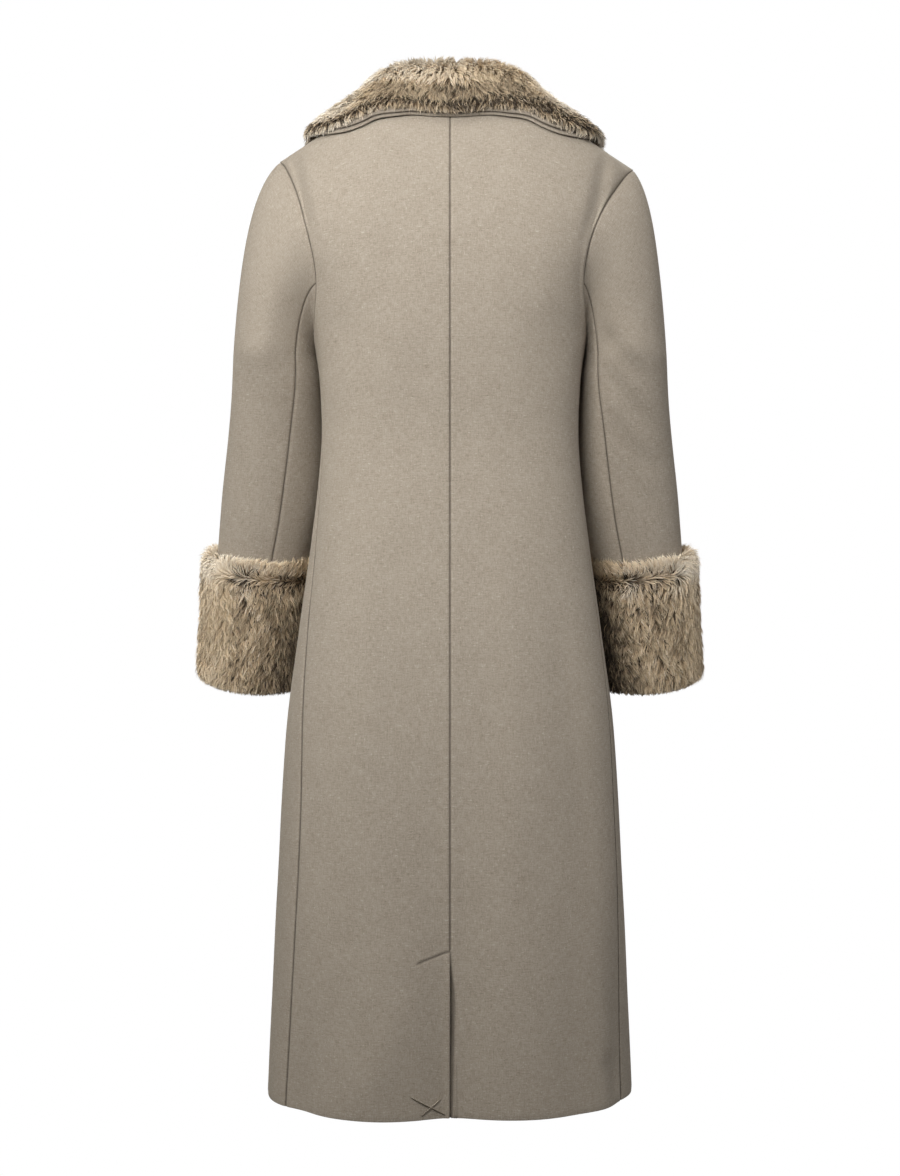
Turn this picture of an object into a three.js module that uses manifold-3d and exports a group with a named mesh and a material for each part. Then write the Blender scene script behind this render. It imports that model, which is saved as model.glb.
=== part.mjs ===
// A long winter coat with a fur collar and deep fur cuffs, filled out as if worn, with no wearer.
// Millimetres. +Z is up, -Y is the coat's front, +X is the wearer's left. The origin lies midway
// between the two side-neck points, where the coat hangs on the wearer's neck and shoulders.
import * as THREE from 'three';
import { mergeVertices } from 'three/addons/utils/BufferGeometryUtils.js';
import Module from 'manifold-3d';

const wasm = await Module();
wasm.setup();

// ---------------------------------------------------------------- driving dimensions
const HEM = -1184;            // height of the hem
const UNDERARM = -290;        // height where side seam and armhole meet
const CLOSURE = -340;         // height of the top front corner, where the fronts close
const CLOTH = 2.0;            // wall of the coat cloth
const SEAM_GAP = 0.3;         // space between two pieces along a seam
const NECK_HALF = 78;         // centre back to the side-neck point
const SHOULDER_TIP = { x: 212, y: 6, z: -83 };
const SHOULDER_SLOPE = 0.6;   // fall of the shoulder for each mm outward
const FRONT_OVERLAP = 28;     // how far each front passes the centre
const UNDERLAP_DROP = 3.4;    // the left front lies this far under the right one
const VENT_TOP = -998;        // top of the centre-back vent, at the seam
const VENT_LAP = 38;          // width of the vent's underlap
const VENT_SLANT = 13;        // the stitched top of the vent falls this much over its width
const CUFF_TOP = -549;        // fur cuff, on the sleeve's axis
const CUFF_BOTTOM = -709;
const CUFF_RADIUS = { top: 71.5, bottom: 69.5 };
const CUFF_LEAN = 7;          // the cuff's outer face stands this much further out at its top
const CUFF_OUTSET = 2.5;      // and the whole of it this much outward of the sleeve
const CUFF_LIFT = 3;          // its lower edge rises this much at its outer side
const SLEEVE_TOP_RING = -310; // the sleeve is a plain tube from here down
const SLEEVE_END = -700;
const BUTTON = {
  radius: 14, thick: 5, holeRadius: 1.3, holeOffset: 3, top: -368, pitch: 135, count: 3,
};

const LEFT = 1;
const RIGHT = -1;
const DEGREE = Math.PI / 180;

// Number of steps in each grid.
const BACK_COLUMNS = 12;
const BACK_NECK_COLUMNS = 5;
const FRONT_COLUMNS = 11;
const SKIRT_ROWS = 14;
const YOKE_ROWS = 10;         // also the number of steps in half an armhole
const SLEEVE_SEAM = 3;        // armhole step where the sleeve's two long seams start
const CAP_ROWS = 6;
const TUBE_ROWS = 9;

// Horizontal rings of the body: half width, depth behind and before the centre, squareness.
const BODY_RINGS = [
  { at: HEM, half: 217, back: 167, front: 160, square: 2.75 },
  { at: -1030, half: 210, back: 158, front: 152, square: 2.65 },
  { at: -840, half: 200.5, back: 146, front: 143, square: 2.6 },
  { at: -740, half: 194, back: 138, front: 136, square: 2.55 },
  { at: -640, half: 181, back: 129, front: 131, square: 2.5 },
  { at: -540, half: 166, back: 118, front: 124, square: 2.55 },
  { at: -420, half: 154, back: 110, front: 122, square: 2.6 },
  { at: -340, half: 156, back: 116, front: 129, square: 2.65 },
  { at: UNDERARM, half: 163, back: 121, front: 133, square: 2.65 },
];

// The side seams swing towards the back as they fall; degrees from centre back.
const SIDE_SEAM = [
  { at: HEM, left: 61, right: 69 },
  { at: -850, left: 61, right: 72 },
  { at: -600, left: 70, right: 77 },
  { at: UNDERARM, left: 82, right: 82 },
];

// Soft folds of the skirt. Each starts at height `top` and is deepest at the hem.
// Angles in degrees from centre back towards the wearer's left; depth is outward.
const SKIRT_FOLDS = [
  { angle: 0, width: 13, depth: -12, top: -640 },
  { angle: 27, width: 18, depth: 12, top: -820 },
  { angle: 54, width: 8, depth: -7, top: -960 },
  { angle: -28, width: 14, depth: 4, top: -760 },
  { angle: -47, width: 9, depth: -5, top: -700 },
  { angle: -67, width: 9, depth: -8, top: -900 },
  { angle: 108, width: 13, depth: -6, top: -760 },
  { angle: 138, width: 15, depth: 6, top: -700 },
  { angle: -112, width: 13, depth: -7, top: -720 },
  { angle: -140, width: 15, depth: 6, top: -760 },
];

// Centre back from the underarm level up to the nape.
const CENTRE_BACK = [
  { at: 0.3, y: 122, z: -225 },
  { at: 0.6, y: 116, z: -150 },
  { at: 0.8, y: 98, z: -85 },
  { at: 0.92, y: 76, z: -45 },
  { at: 1, y: 57, z: -22 },
];

// Front neck edge from the closure up to the side-neck point.
const FRONT_NECK = [
  { at: 0.2, x: -8, y: -131, z: -298 },
  { at: 0.4, x: 18, y: -127, z: -240 },
  { at: 0.6, x: 42, y: -115, z: -175 },
  { at: 0.8, x: 62, y: -84, z: -98 },
  { at: 0.92, x: 73, y: -42, z: -38 },
  { at: 1, x: NECK_HALF, y: 0, z: 0 },
];

// The armhole from the underarm to the shoulder tip, behind and in front.
const ARMHOLE_BACK = [
  { at: 0.15, x: 159, y: 50, z: -264 },
  { at: 0.3, x: 156, y: 70, z: -234 },
  { at: 0.45, x: 159, y: 82, z: -203 },
  { at: 0.6, x: 169, y: 80, z: -166 },
  { at: 0.75, x: 183, y: 60, z: -130 },
  { at: 0.9, x: 202, y: 26, z: -95 },
  { at: 1, ...SHOULDER_TIP },
];
const ARMHOLE_FRONT = [
  { at: 0.15, x: 161, y: -12, z: -283 },
  { at: 0.3, x: 154, y: -45, z: -262 },
  { at: 0.45, x: 149, y: -67, z: -225 },
  { at: 0.6, x: 155, y: -72, z: -182 },
  { at: 0.75, x: 172, y: -58, z: -140 },
  { at: 0.9, x: 197, y: -24, z: -100 },
  { at: 1, ...SHOULDER_TIP },
];
// The wearer's left shoulder tip sits a little nearer the neck than the right one.
const TIP_SHIFT = { left: -8, right: 8 };

const ARMHOLE_TURN = 28;      // degrees by which front rows stop short of the side at the armhole

// A soft drape fold beside each armhole, from below the shoulder to the back seam.
const DRAPE_FOLD = { topX: 184, topZ: -78, lowX: 166, lowZ: -178, width: 10, depth: 7 };

// Sections of the sleeve: centre, half width across and half depth.
const SLEEVE_RINGS = [
  { at: SLEEVE_END - 20, x: 252, y: -117, across: 50, deep: 50 },
  { at: -640, x: 243, y: -101, across: 52, deep: 52 },
  { at: -560, x: 233, y: -83, across: 56, deep: 54 },
  { at: -490, x: 221, y: -64, across: 60, deep: 56 },
  { at: -420, x: 213, y: -44, across: 58.5, deep: 59 },
  { at: -360, x: 210.2, y: -26, across: 54.5, deep: 62 },
  { at: SLEEVE_TOP_RING, x: 212.5, y: -10, across: 48, deep: 64 },
];
// Long seams of the sleeve, and its inner line below the underarm: degrees from its outer side,
// by way of the back.
const SLEEVE_SEAMS = [
  { at: SLEEVE_END, leftBack: 107, rightBack: 113, inner: 176, front: 238 },
  { at: -520, leftBack: 105, rightBack: 112, inner: 176, front: 238 },
  { at: -400, leftBack: 112, rightBack: 119, inner: 174, front: 240 },
  { at: SLEEVE_TOP_RING, leftBack: 129, rightBack: 140, inner: 166, front: 240 },
];
// At the wrist the sections tip with the arm: rise for each mm outward and each mm back.
const WRIST_TIP = { outward: 0.09, back: -0.19 };
const CAP_FULLNESS = 6;       // the sleeve cap swells this far past a plain curve

// The cloth collar's outer edge. `along` runs 0 at centre back, 1 at the side neck and 2 at the
// front end. Place is by fractions of the panel below it: across from its centre edge, and up.
const COLLAR_EDGE_BACK = [
  { at: 0, across: 0, up: 0.94 },
  { at: 0.2, across: 0.165, up: 0.932 },
  { at: 0.4, across: 0.33, up: 0.9 },
  { at: 0.65, across: 0.53, up: 0.878 },
  { at: 0.85, across: 0.69, up: 0.92 },
  { at: 1, across: 0.79, up: 1 },
];
const COLLAR_EDGE_FRONT = [
  { at: 1, across: 0.64, up: 1 },
  { at: 1.2, across: 0.6, up: 0.88 },
  { at: 1.45, across: 0.48, up: 0.68 },
  { at: 1.75, across: 0.34, up: 0.46 },
  { at: 2, across: 0.17, up: 0.32 },
];
const COLLAR_FRONT_END = 0.37; // the collar starts this far up the front neck edge
// Height of the collar's stand and how it leans, the fur's thickness, how far short of the cloth's
// edge the fur's own backing ends, and the fur's reach past that backing.
const COLLAR_SHAPE = [
  { at: 0, stand: 38, lean: 3, pile: 17, short: 11, reach: 7 },
  { at: 0.35, stand: 34, lean: 3, pile: 17, short: 15, reach: 6 },
  { at: 0.65, stand: 20, lean: 4, pile: 17, short: 16, reach: 7 },
  { at: 0.85, stand: 8, lean: 4, pile: 14, short: 8, reach: 9 },
  { at: 1, stand: 3, lean: 3, pile: 12, short: 2, reach: 14 },
  { at: 1.2, stand: 4, lean: 3, pile: 15, short: 0, reach: 18 },
  { at: 1.4, stand: 6, lean: 3, pile: 16, short: 0, reach: 20 },
  { at: 1.75, stand: 5, lean: 0, pile: 15, short: 0, reach: 15 },
  { at: 2, stand: 3, lean: 0, pile: 11, short: 0, reach: 10 },
];
const COLLAR_LAYER = 2.4;     // from one collar layer to the next
const FUR_EASE = 0.5;         // space between the upper collar and the fur, past its layer's own
const FOLD_WIDTH = 5;         // the collar's roll over its stand
const STAND_SHARE = 0.3;      // share of the collar's section that is stand

// ---------------------------------------------------------------- small helpers
const v3 = (x, y, z) => new THREE.Vector3(x, y, z);
const mix = (a, b, t) => a + (b - a) * t;
const clamp01 = (t) => Math.min(1, Math.max(0, t));
const smooth = (from, to, t) => {
  const k = clamp01((t - from) / (to - from));
  return k * k * (3 - 2 * k);
};
const steps = (count) => Array.from({ length: count + 1 }, (_, i) => i / count);

/** Reads a table smoothly by its column `at`: a cubic through its rows, for every other column. */
function reader(table) {
  const rows = [...table].sort((a, b) => a.at - b.at);
  const names = Object.keys(rows[0]).filter((name) => name !== 'at');
  return (at) => {
    let i = 0;
    while (i < rows.length - 2 && at > rows[i + 1].at) i += 1;
    const a = rows[i];
    const b = rows[i + 1];
    const before = rows[i - 1] ?? a;
    const after = rows[i + 2] ?? b;
    const span = b.at - a.at;
    const t = clamp01((at - a.at) / span);
    const read = {};
    for (const name of names) {
      const startSlope = (b[name] - before[name]) / (b.at - before.at) * span;
      const endSlope = (after[name] - a[name]) / (after.at - a.at) * span;
      read[name] = (2 * t ** 3 - 3 * t ** 2 + 1) * a[name] + (t ** 3 - 2 * t ** 2 + t) * startSlope
        + (3 * t ** 2 - 2 * t ** 3) * b[name] + (t ** 3 - t ** 2) * endSlope;
    }
    return read;
  };
}

// ---------------------------------------------------------------- the body's form
const bodyRing = reader(BODY_RINGS);
const sideSeam = reader(SIDE_SEAM);

/** Degrees from centre back to the side seam, on one side, at a height. */
const seamAngle = (side, z) => (side === LEFT ? sideSeam(z).left : sideSeam(z).right);

/** Outward push of the skirt's soft folds, at a signed angle and height. */
function foldPush(angle, z) {
  let push = 0;
  for (const fold of SKIRT_FOLDS) {
    const apart = ((angle - fold.angle + 540) % 360) - 180;
    push += fold.depth * smooth(fold.top, HEM, z) * Math.exp(-((apart / fold.width) ** 2));
  }
  return push;
}

/** A point of the body's ring at a height; `angle` in degrees from centre back, 0 to about 195. */
function ringPoint(side, z, angle) {
  const { half, back, front, square } = bodyRing(z);
  const s = Math.sin(angle * DEGREE);
  const c = Math.cos(angle * DEGREE);
  const depth = c > 0 ? back : front;
  const plain = ((Math.abs(s) / half) ** square + (Math.abs(c) / depth) ** square) ** (-1 / square);
  const radius = plain + foldPush(side * angle, z);
  return v3(radius * s, radius * c, z);
}

const underarmPoint = ringPoint(LEFT, UNDERARM, seamAngle(LEFT, UNDERARM));
const frontEdgeAngle = (z) => 180 + Math.atan(FRONT_OVERLAP / bodyRing(z).front) / DEGREE;
const closurePoint = ringPoint(LEFT, CLOSURE, frontEdgeAngle(CLOSURE));
const start = (point) => ({ at: 0, x: point.x, y: point.y, z: point.z });

const centreBack = reader([{ at: 0, y: bodyRing(UNDERARM).back, z: UNDERARM }, ...CENTRE_BACK]);
const frontNeck = reader([start(closurePoint), ...FRONT_NECK]);
const armholeBack = reader([start(underarmPoint), ...ARMHOLE_BACK]);
const armholeFront = reader([start(underarmPoint), ...ARMHOLE_FRONT]);

/** A point of the armhole, `up` from 0 at the underarm to 1 at the shoulder tip. */
function armholePoint(side, isBack, up) {
  const p = (isBack ? armholeBack : armholeFront)(up);
  const shift = (side === LEFT ? TIP_SHIFT.left : TIP_SHIFT.right) * smooth(0.5, 1, up);
  return v3(p.x + shift, p.y, p.z - SHOULDER_SLOPE * shift);
}

/**
 * A point on a row that leaves `centre` along the ring's curve and ends at `edge`: the ring's own
 * curve between two angles, stretched to meet both ends.
 */
function rowPoint(side, centre, edge, ringZ, centreAngle, edgeAngle, across) {
  const a = ringPoint(side, ringZ, centreAngle);
  const b = ringPoint(side, ringZ, edgeAngle);
  const p = ringPoint(side, ringZ, mix(centreAngle, edgeAngle, across));
  return v3(
    mix(centre.x, edge.x, (p.x - a.x) / (b.x - a.x)),
    mix(edge.y, centre.y, (p.y - b.y) / (a.y - b.y)),
    mix(centre.z, edge.z, smooth(0, 1, across)),
  );
}

/** A point along the shoulder seam, 0 at the neck and 1 at the tip. */
function shoulderPoint(side, t) {
  const tip = armholePoint(side, true, 1);
  return v3(mix(NECK_HALF, tip.x, t), mix(0, tip.y, t), mix(0, tip.z, t));
}

/** The upper edge of the back: the neck curve, then the shoulder seam. */
const NECK_SHARE = BACK_NECK_COLUMNS / BACK_COLUMNS;
function backTop(side, across) {
  if (across > NECK_SHARE) return shoulderPoint(side, (across - NECK_SHARE) / (1 - NECK_SHARE));
  const t = across / NECK_SHARE * Math.PI / 2;
  const nape = centreBack(1);
  return v3(NECK_HALF * Math.sin(t), nape.y * Math.cos(t), nape.z * Math.cos(t) ** 1.5);
}

/** Depth of the drape fold beside the armhole at a point of the back. */
function drapeDepth(p, across, up) {
  const f = DRAPE_FOLD;
  const t = (p.z - f.topZ) / (f.lowZ - f.topZ);
  const offLine = p.x - mix(f.topX, f.lowX, t);
  const fade = smooth(-0.15, 0.25, t) * smooth(1.35, 0.8, t) * smooth(1, 0.9, across)
    * smooth(1, 0.94, up);
  return f.depth * fade * Math.exp(-((offLine / f.width) ** 2));
}

/**
 * Leans a yoke row's point towards the panel's upper edge, late in depth and earlier in height,
 * by what parts the plain top row from that edge, so that neck edge and armhole stay in place.
 */
function leant(point, plainTop, top, up) {
  const late = up ** 12;
  const early = up ** 4;
  return v3(
    point.x + late * (top.x - plainTop.x),
    point.y + late * (top.y - plainTop.y),
    point.z + early * (top.z - plainTop.z),
  );
}

/** The back panel: `up` is -1 at the hem, 0 at the underarm and 1 at neck and shoulder. */
function backPoint(side, across, up) {
  const ringZ = up < 0 ? mix(UNDERARM, HEM, -up) : UNDERARM;
  const edgeAngle = seamAngle(side, ringZ);
  if (up <= 0) {
    return ringPoint(side, ringZ, edgeAngle * across);
  }
  const row = (level) => {
    const mid = centreBack(level);
    return rowPoint(side, v3(0, mid.y, mid.z), armholePoint(side, true, level),
      ringZ, 0, edgeAngle, across);
  };
  const p = leant(row(up), row(1), backTop(side, across), up);
  p.y -= drapeDepth(p, across, up);
  return p;
}

/** The front panel, `across` from 0 at its front edge to 1 at side seam and armhole. */
function frontPoint(side, across, up) {
  const sideZ = up < 0 ? mix(UNDERARM, HEM, -up) : UNDERARM;
  const edgeZ = up < 0 ? mix(CLOSURE, HEM, -up) : CLOSURE;
  const turn = seamAngle(side, sideZ) + ARMHOLE_TURN * smooth(0, 0.3, up);
  const row = (level) => rowPoint(side,
    level > 0 ? frontNeck(level) : ringPoint(side, edgeZ, frontEdgeAngle(edgeZ)),
    level > 0 ? armholePoint(side, false, level) : ringPoint(side, sideZ, seamAngle(side, sideZ)),
    mix(edgeZ, sideZ, across), frontEdgeAngle(edgeZ), turn, across);
  const p = up > 0 ? leant(row(up), row(1), shoulderPoint(side, across), up) : row(up);
  if (side === LEFT) {
    p.y += UNDERLAP_DROP * smooth(FRONT_OVERLAP + 28, FRONT_OVERLAP + 6, p.x);
  }
  return p;
}

/** The way from a point on a seam into the coat, the same for every piece that meets there. */
function inward(p) {
  if (p.z < UNDERARM - 1) {
    const { half, back, front, square } = bodyRing(p.z);
    const depth = p.y > 0 ? back : front;
    const x = Math.sign(p.x) * Math.abs(p.x) ** (square - 1) / half ** square;
    const y = Math.sign(p.y) * Math.abs(p.y) ** (square - 1) / depth ** square;
    return v3(-x, -y, 0).normalize();
  }
  return v3(Math.min(p.x, 150) - p.x, -p.y, -190 - p.z).normalize();
}

// ---------------------------------------------------------------- solids from grids of points
const mirrored = (p, side) => v3(p.x * side, p.y, p.z);

/** Turns lists of points and triangles into a geometry whose faces point out. */
function closedGeometry(points, triangles) {
  let volume = 0;
  for (const [a, b, c] of triangles) {
    volume += points[a].dot(points[b].clone().cross(points[c]));
  }
  const index = triangles.flatMap(([a, b, c]) => (volume > 0 ? [a, b, c] : [a, c, b]));
  const geometry = new THREE.BufferGeometry();
  geometry.setAttribute('position',
    new THREE.Float32BufferAttribute(points.flatMap((p) => [p.x, p.y, p.z]), 3));
  geometry.setIndex(index);
  geometry.computeVertexNormals();
  return geometry;
}

/** Unit normals of a grid of points, on the side that `toOut` names with +1 or -1. */
function gridNormals(grid, toOut) {
  const rows = grid.length;
  const columns = grid[0].length;
  return grid.map((row, i) => row.map((_, j) => {
    const up = grid[Math.min(i + 1, rows - 1)][j].clone().sub(grid[Math.max(i - 1, 0)][j]);
    const over = row[Math.min(j + 1, columns - 1)].clone().sub(row[Math.max(j - 1, 0)]);
    return over.cross(up).normalize().multiplyScalar(toOut);
  }));
}

/** A wall between two grids of the same size, closed round its four edges. */
function wallBetween(outer, inner) {
  const rows = outer.length;
  const columns = outer[0].length;
  const count = rows * columns;
  const points = [...outer.flat(), ...inner.flat()];
  const at = (i, j) => i * columns + j;
  const triangles = [];
  const quad = (a, b, c, d) => triangles.push([a, b, c], [a, c, d]);
  for (let i = 0; i < rows - 1; i += 1) {
    for (let j = 0; j < columns - 1; j += 1) {
      quad(at(i, j), at(i, j + 1), at(i + 1, j + 1), at(i + 1, j));
      quad(count + at(i, j), count + at(i + 1, j), count + at(i + 1, j + 1), count + at(i, j + 1));
    }
  }
  const rim = [];
  for (let j = 0; j < columns - 1; j += 1) rim.push(at(0, j));
  for (let i = 0; i < rows - 1; i += 1) rim.push(at(i, columns - 1));
  for (let j = columns - 1; j > 0; j -= 1) rim.push(at(rows - 1, j));
  for (let i = rows - 1; i > 0; i -= 1) rim.push(at(i, 0));
  rim.forEach((a, k) => {
    const b = rim[(k + 1) % rim.length];
    quad(b, a, count + a, count + b);
  });
  return closedGeometry(points, triangles);
}

/** Draws the named edges of a grid back by half a seam's gap. */
function trimmed(grid, edges) {
  const last = grid.length - 1;
  const end = grid[0].length - 1;
  const pulled = (p, towards) => p.clone().add(
    towards.clone().sub(p).setLength(SEAM_GAP / 2));
  const rows = grid.map((row) => row.map((p) => p.clone()));
  if (edges.includes('first')) rows.forEach((row) => { row[0] = pulled(row[0], row[1]); });
  if (edges.includes('last')) rows.forEach((row) => { row[end] = pulled(row[end], row[end - 1]); });
  if (edges.includes('top')) {
    rows[last] = rows[last].map((p, j) => pulled(p, rows[last - 1][j]));
  }
  return rows;
}

/** A cloth panel: its outer grid, and an inner one CLOTH further in. */
function clothPanel(outer, toOut, seamEdge) {
  const normals = gridNormals(outer, toOut);
  const inner = outer.map((row, i) => row.map((p, j) => {
    const way = seamEdge(i, j) ? inward(p) : normals[i][j].clone().negate();
    return p.clone().addScaledVector(way, CLOTH);
  }));
  return { outer, inner };
}

/** Mirrors a pair of grids to a side and closes them. */
function sidedWall({ outer, inner }, side) {
  const toSide = (grid) => grid.map((row) => row.map((p) => mirrored(p, side)));
  return wallBetween(toSide(outer), toSide(inner));
}

/** A solid swept through closed sections, each a ring of points; the ends are capped or joined. */
function sweptSolid(sections, joined) {
  const size = sections[0].length;
  const points = sections.flat();
  const triangles = [];
  const count = joined ? sections.length : sections.length - 1;
  for (let i = 0; i < count; i += 1) {
    const next = (i + 1) % sections.length;
    for (let j = 0; j < size; j += 1) {
      const k = (j + 1) % size;
      triangles.push([i * size + j, i * size + k, next * size + k]);
      triangles.push([i * size + j, next * size + k, next * size + j]);
    }
  }
  if (!joined) {
    for (const [ring, turned] of [[0, true], [sections.length - 1, false]]) {
      const middle = points.length;
      const sum = sections[ring].reduce((total, p) => total.add(p), v3(0, 0, 0));
      points.push(sum.divideScalar(size));
      for (let j = 0; j < size; j += 1) {
        const a = ring * size + j;
        const b = ring * size + ((j + 1) % size);
        triangles.push(turned ? [middle, b, a] : [middle, a, b]);
      }
    }
  }
  return closedGeometry(points, triangles);
}

// ---------------------------------------------------------------- booleans
/** A closed geometry as a manifold solid. */
function toSolid(geometry) {
  const bare = new THREE.BufferGeometry();
  bare.setAttribute('position', geometry.getAttribute('position').clone());
  bare.setIndex(geometry.getIndex().clone());
  const merged = mergeVertices(bare);
  return new wasm.Manifold(new wasm.Mesh({
    numProp: 3,
    vertProperties: new Float32Array(merged.getAttribute('position').array),
    triVerts: new Uint32Array(merged.getIndex().array),
  }));
}

/** A manifold solid as a geometry. */
function fromSolid(solid) {
  const mesh = solid.getMesh();
  const geometry = new THREE.BufferGeometry();
  geometry.setAttribute('position', new THREE.BufferAttribute(mesh.vertProperties, 3));
  geometry.setIndex(new THREE.BufferAttribute(mesh.triVerts, 1));
  geometry.computeVertexNormals();
  return geometry;
}

// ---------------------------------------------------------------- materials and the group
const CLOTH_LOOK = { color: 0xb8ab99, roughness: 0.95, metalness: 0 };
const FUR_LOOK = { color: 0xa08c70, roughness: 1, metalness: 0 };
const BUTTON_LOOK = { color: 0x6d5f50, roughness: 0.5, metalness: 0 };

const coat = new THREE.Group();

/** Adds one named piece to the coat. */
function addPiece(name, geometry, look) {
  const mesh = new THREE.Mesh(geometry, new THREE.MeshStandardMaterial(look));
  mesh.name = name;
  coat.add(mesh);
}

// ---------------------------------------------------------------- backs, with the vent
const panelRows = [
  ...steps(SKIRT_ROWS).map((t) => t - 1),
  ...steps(YOKE_ROWS).slice(1),
];

/** Sideways parting of the right back's edge below the vent's top. */
const ventParting = (z) => 3.5 * smooth(VENT_TOP, VENT_TOP - 50, z) * smooth(HEM - 60, HEM + 60, z);

/** One back panel; the right one's centre edge swings aside below the vent. */
function backPanel(side) {
  const columns = steps(BACK_COLUMNS);
  let grid = panelRows.map((up) => columns.map((across) => {
    const p = backPoint(side, across, up);
    if (side === RIGHT && across === 0) p.x += ventParting(p.z);
    return p;
  }));
  grid = trimmed(grid, ['first', 'last', 'top']);
  const last = panelRows.length - 1;
  const isSeam = (i, j) => j === 0 || j === BACK_COLUMNS || i === last;
  return sidedWall(clothPanel(grid, -1, isSeam), side);
}

/** The right back's extension, which runs under the left back at the vent. */
function ventUnderlap() {
  const outside = -8;         // it joins the right back this far from the centre
  const rows = steps(10);
  const columns = [outside, -5, -1.5, 2, 10, 19, 28, VENT_LAP];
  const grid = (depth) => rows.map((t) => columns.map((x) => {
    const top = VENT_TOP - VENT_SLANT * clamp01(x / VENT_LAP);
    const z = mix(HEM, top, t);
    const { back } = bodyRing(z);
    const angle = Math.atan(x / back) / DEGREE;
    const p = ringPoint(Math.sign(x) || 1, z, Math.abs(angle));
    const under = (CLOTH + 0.6) * smooth(-5, -1.5, x);
    return v3(x, p.y - under - depth, z);
  }));
  return wallBetween(grid(0.02), grid(CLOTH - 0.04));
}

addPiece('back_left', backPanel(LEFT), CLOTH_LOOK);
addPiece('back_right',
  fromSolid(toSolid(backPanel(RIGHT)).add(toSolid(ventUnderlap()))), CLOTH_LOOK);

// ---------------------------------------------------------------- fronts
/** One front panel, plain, from its front edge to the side seam and armhole. */
function frontPanel(side) {
  const columns = steps(FRONT_COLUMNS);
  const grid = trimmed(
    panelRows.map((up) => columns.map((across) => frontPoint(side, across, up))),
    ['last', 'top'],
  );
  const last = panelRows.length - 1;
  const isSeam = (i, j) => j === FRONT_COLUMNS || i === last;
  return sidedWall(clothPanel(grid, 1, isSeam), side);
}

addPiece('front_left', frontPanel(LEFT), CLOTH_LOOK);
addPiece('front_right', frontPanel(RIGHT), CLOTH_LOOK);

// ---------------------------------------------------------------- sleeves
const sleeveRing = reader(SLEEVE_RINGS);
const sleeveSeams = reader(SLEEVE_SEAMS);
const ROUND = 2 * YOKE_ROWS;  // armhole steps all round

/** The armhole's point at a step: 0 underarm, YOKE_ROWS shoulder tip, ROUND underarm again. */
function armholeStep(side, k) {
  const turn = (k + ROUND) % ROUND;
  const p = turn <= YOKE_ROWS
    ? armholePoint(side, true, turn / YOKE_ROWS)
    : armholePoint(side, false, (ROUND - turn) / YOKE_ROWS);
  p.x += SEAM_GAP + 0.05;
  return p;
}

/** Height of the wrist's tip at a place in the section. */
function wristRise(z, offX, offY) {
  const share = smooth(SLEEVE_TOP_RING, -560, z);
  return share * (WRIST_TIP.outward * offX + WRIST_TIP.back * offY);
}

/** A point of the sleeve's tube: `angle` in degrees from its outer side by way of the back. */
function tubePoint(z, angle, swell = 0) {
  const ring = sleeveRing(z);
  const offX = (ring.across + swell) * Math.cos(angle * DEGREE);
  const offY = (ring.deep + swell) * Math.sin(angle * DEGREE);
  return v3(ring.x + offX, ring.y + offY, z + wristRise(z, offX, offY));
}

/** The angle round the tube at which armhole step `k` runs down; steps pass ROUND in the under. */
function stepAngle(side, z, k) {
  const seams = sleeveSeams(z);
  const back = side === LEFT ? seams.leftBack : seams.rightBack;
  const frontStep = ROUND - SLEEVE_SEAM;
  if (k >= SLEEVE_SEAM && k <= frontStep) {
    return mix(back, seams.front - 360, (k - SLEEVE_SEAM) / (frontStep - SLEEVE_SEAM));
  }
  return k < ROUND
    ? mix(seams.front, seams.inner, (k - frontStep) / SLEEVE_SEAM)
    : mix(seams.inner, back, (k - ROUND) / SLEEVE_SEAM);
}

/** A point of the sleeve cap: a bowed line from the armhole to the top of the tube. */
function capPoint(side, k, t) {
  const from = armholeStep(side, k);
  const angle = stepAngle(side, SLEEVE_TOP_RING, k);
  const to = tubePoint(SLEEVE_TOP_RING, angle);
  const rise = Math.max(6, 0.85 * (from.z - to.z));
  const bend = v3(to.x - 0.1 * rise, to.y + 0.12 * rise, to.z + rise);
  bend.x += CAP_FULLNESS * Math.max(0, Math.cos(angle * DEGREE));
  const p = from.multiplyScalar((1 - t) ** 2);
  return p.addScaledVector(bend, 2 * t * (1 - t)).addScaledVector(to, t * t);
}

/** One of the sleeve's two pieces, between two armhole steps. */
function sleevePiece(side, fromStep, toStep) {
  const columns = Array.from({ length: toStep - fromStep + 1 }, (_, i) => fromStep + i);
  const cap = steps(CAP_ROWS).map((t) => columns.map((k) => capPoint(side, k, t)));
  const tube = steps(TUBE_ROWS).slice(1).map((t) => {
    const z = mix(SLEEVE_TOP_RING, SLEEVE_END, t);
    return columns.map((k) => tubePoint(z, stepAngle(side, z, k)));
  });
  const grid = trimmed([...cap, ...tube], ['first', 'last']);
  const end = columns.length - 1;
  const axisWay = (p) => {
    const ring = sleeveRing(Math.min(p.z, SLEEVE_TOP_RING));
    return v3((ring.x - p.x) / ring.across ** 2, (ring.y - p.y) / ring.deep ** 2, 0).normalize();
  };
  const normals = gridNormals(grid, 1);
  const inner = grid.map((row, i) => row.map((p, j) => {
    let way = normals[i][j].clone().negate();
    if (i === 0) way = inward(p);
    else if (j === 0 || j === end) {
      way = inward(p).lerp(axisWay(p), smooth(0, CAP_ROWS, i)).normalize();
    }
    return p.clone().addScaledVector(way, CLOTH);
  }));
  return sidedWall({ outer: grid, inner }, side);
}

for (const [side, name] of [[LEFT, 'left'], [RIGHT, 'right']]) {
  addPiece(`sleeve_${name}_upper`,
    sleevePiece(side, SLEEVE_SEAM, ROUND - SLEEVE_SEAM), CLOTH_LOOK);
  addPiece(`sleeve_${name}_under`,
    sleevePiece(side, ROUND - SLEEVE_SEAM, ROUND + SLEEVE_SEAM), CLOTH_LOOK);
}

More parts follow.
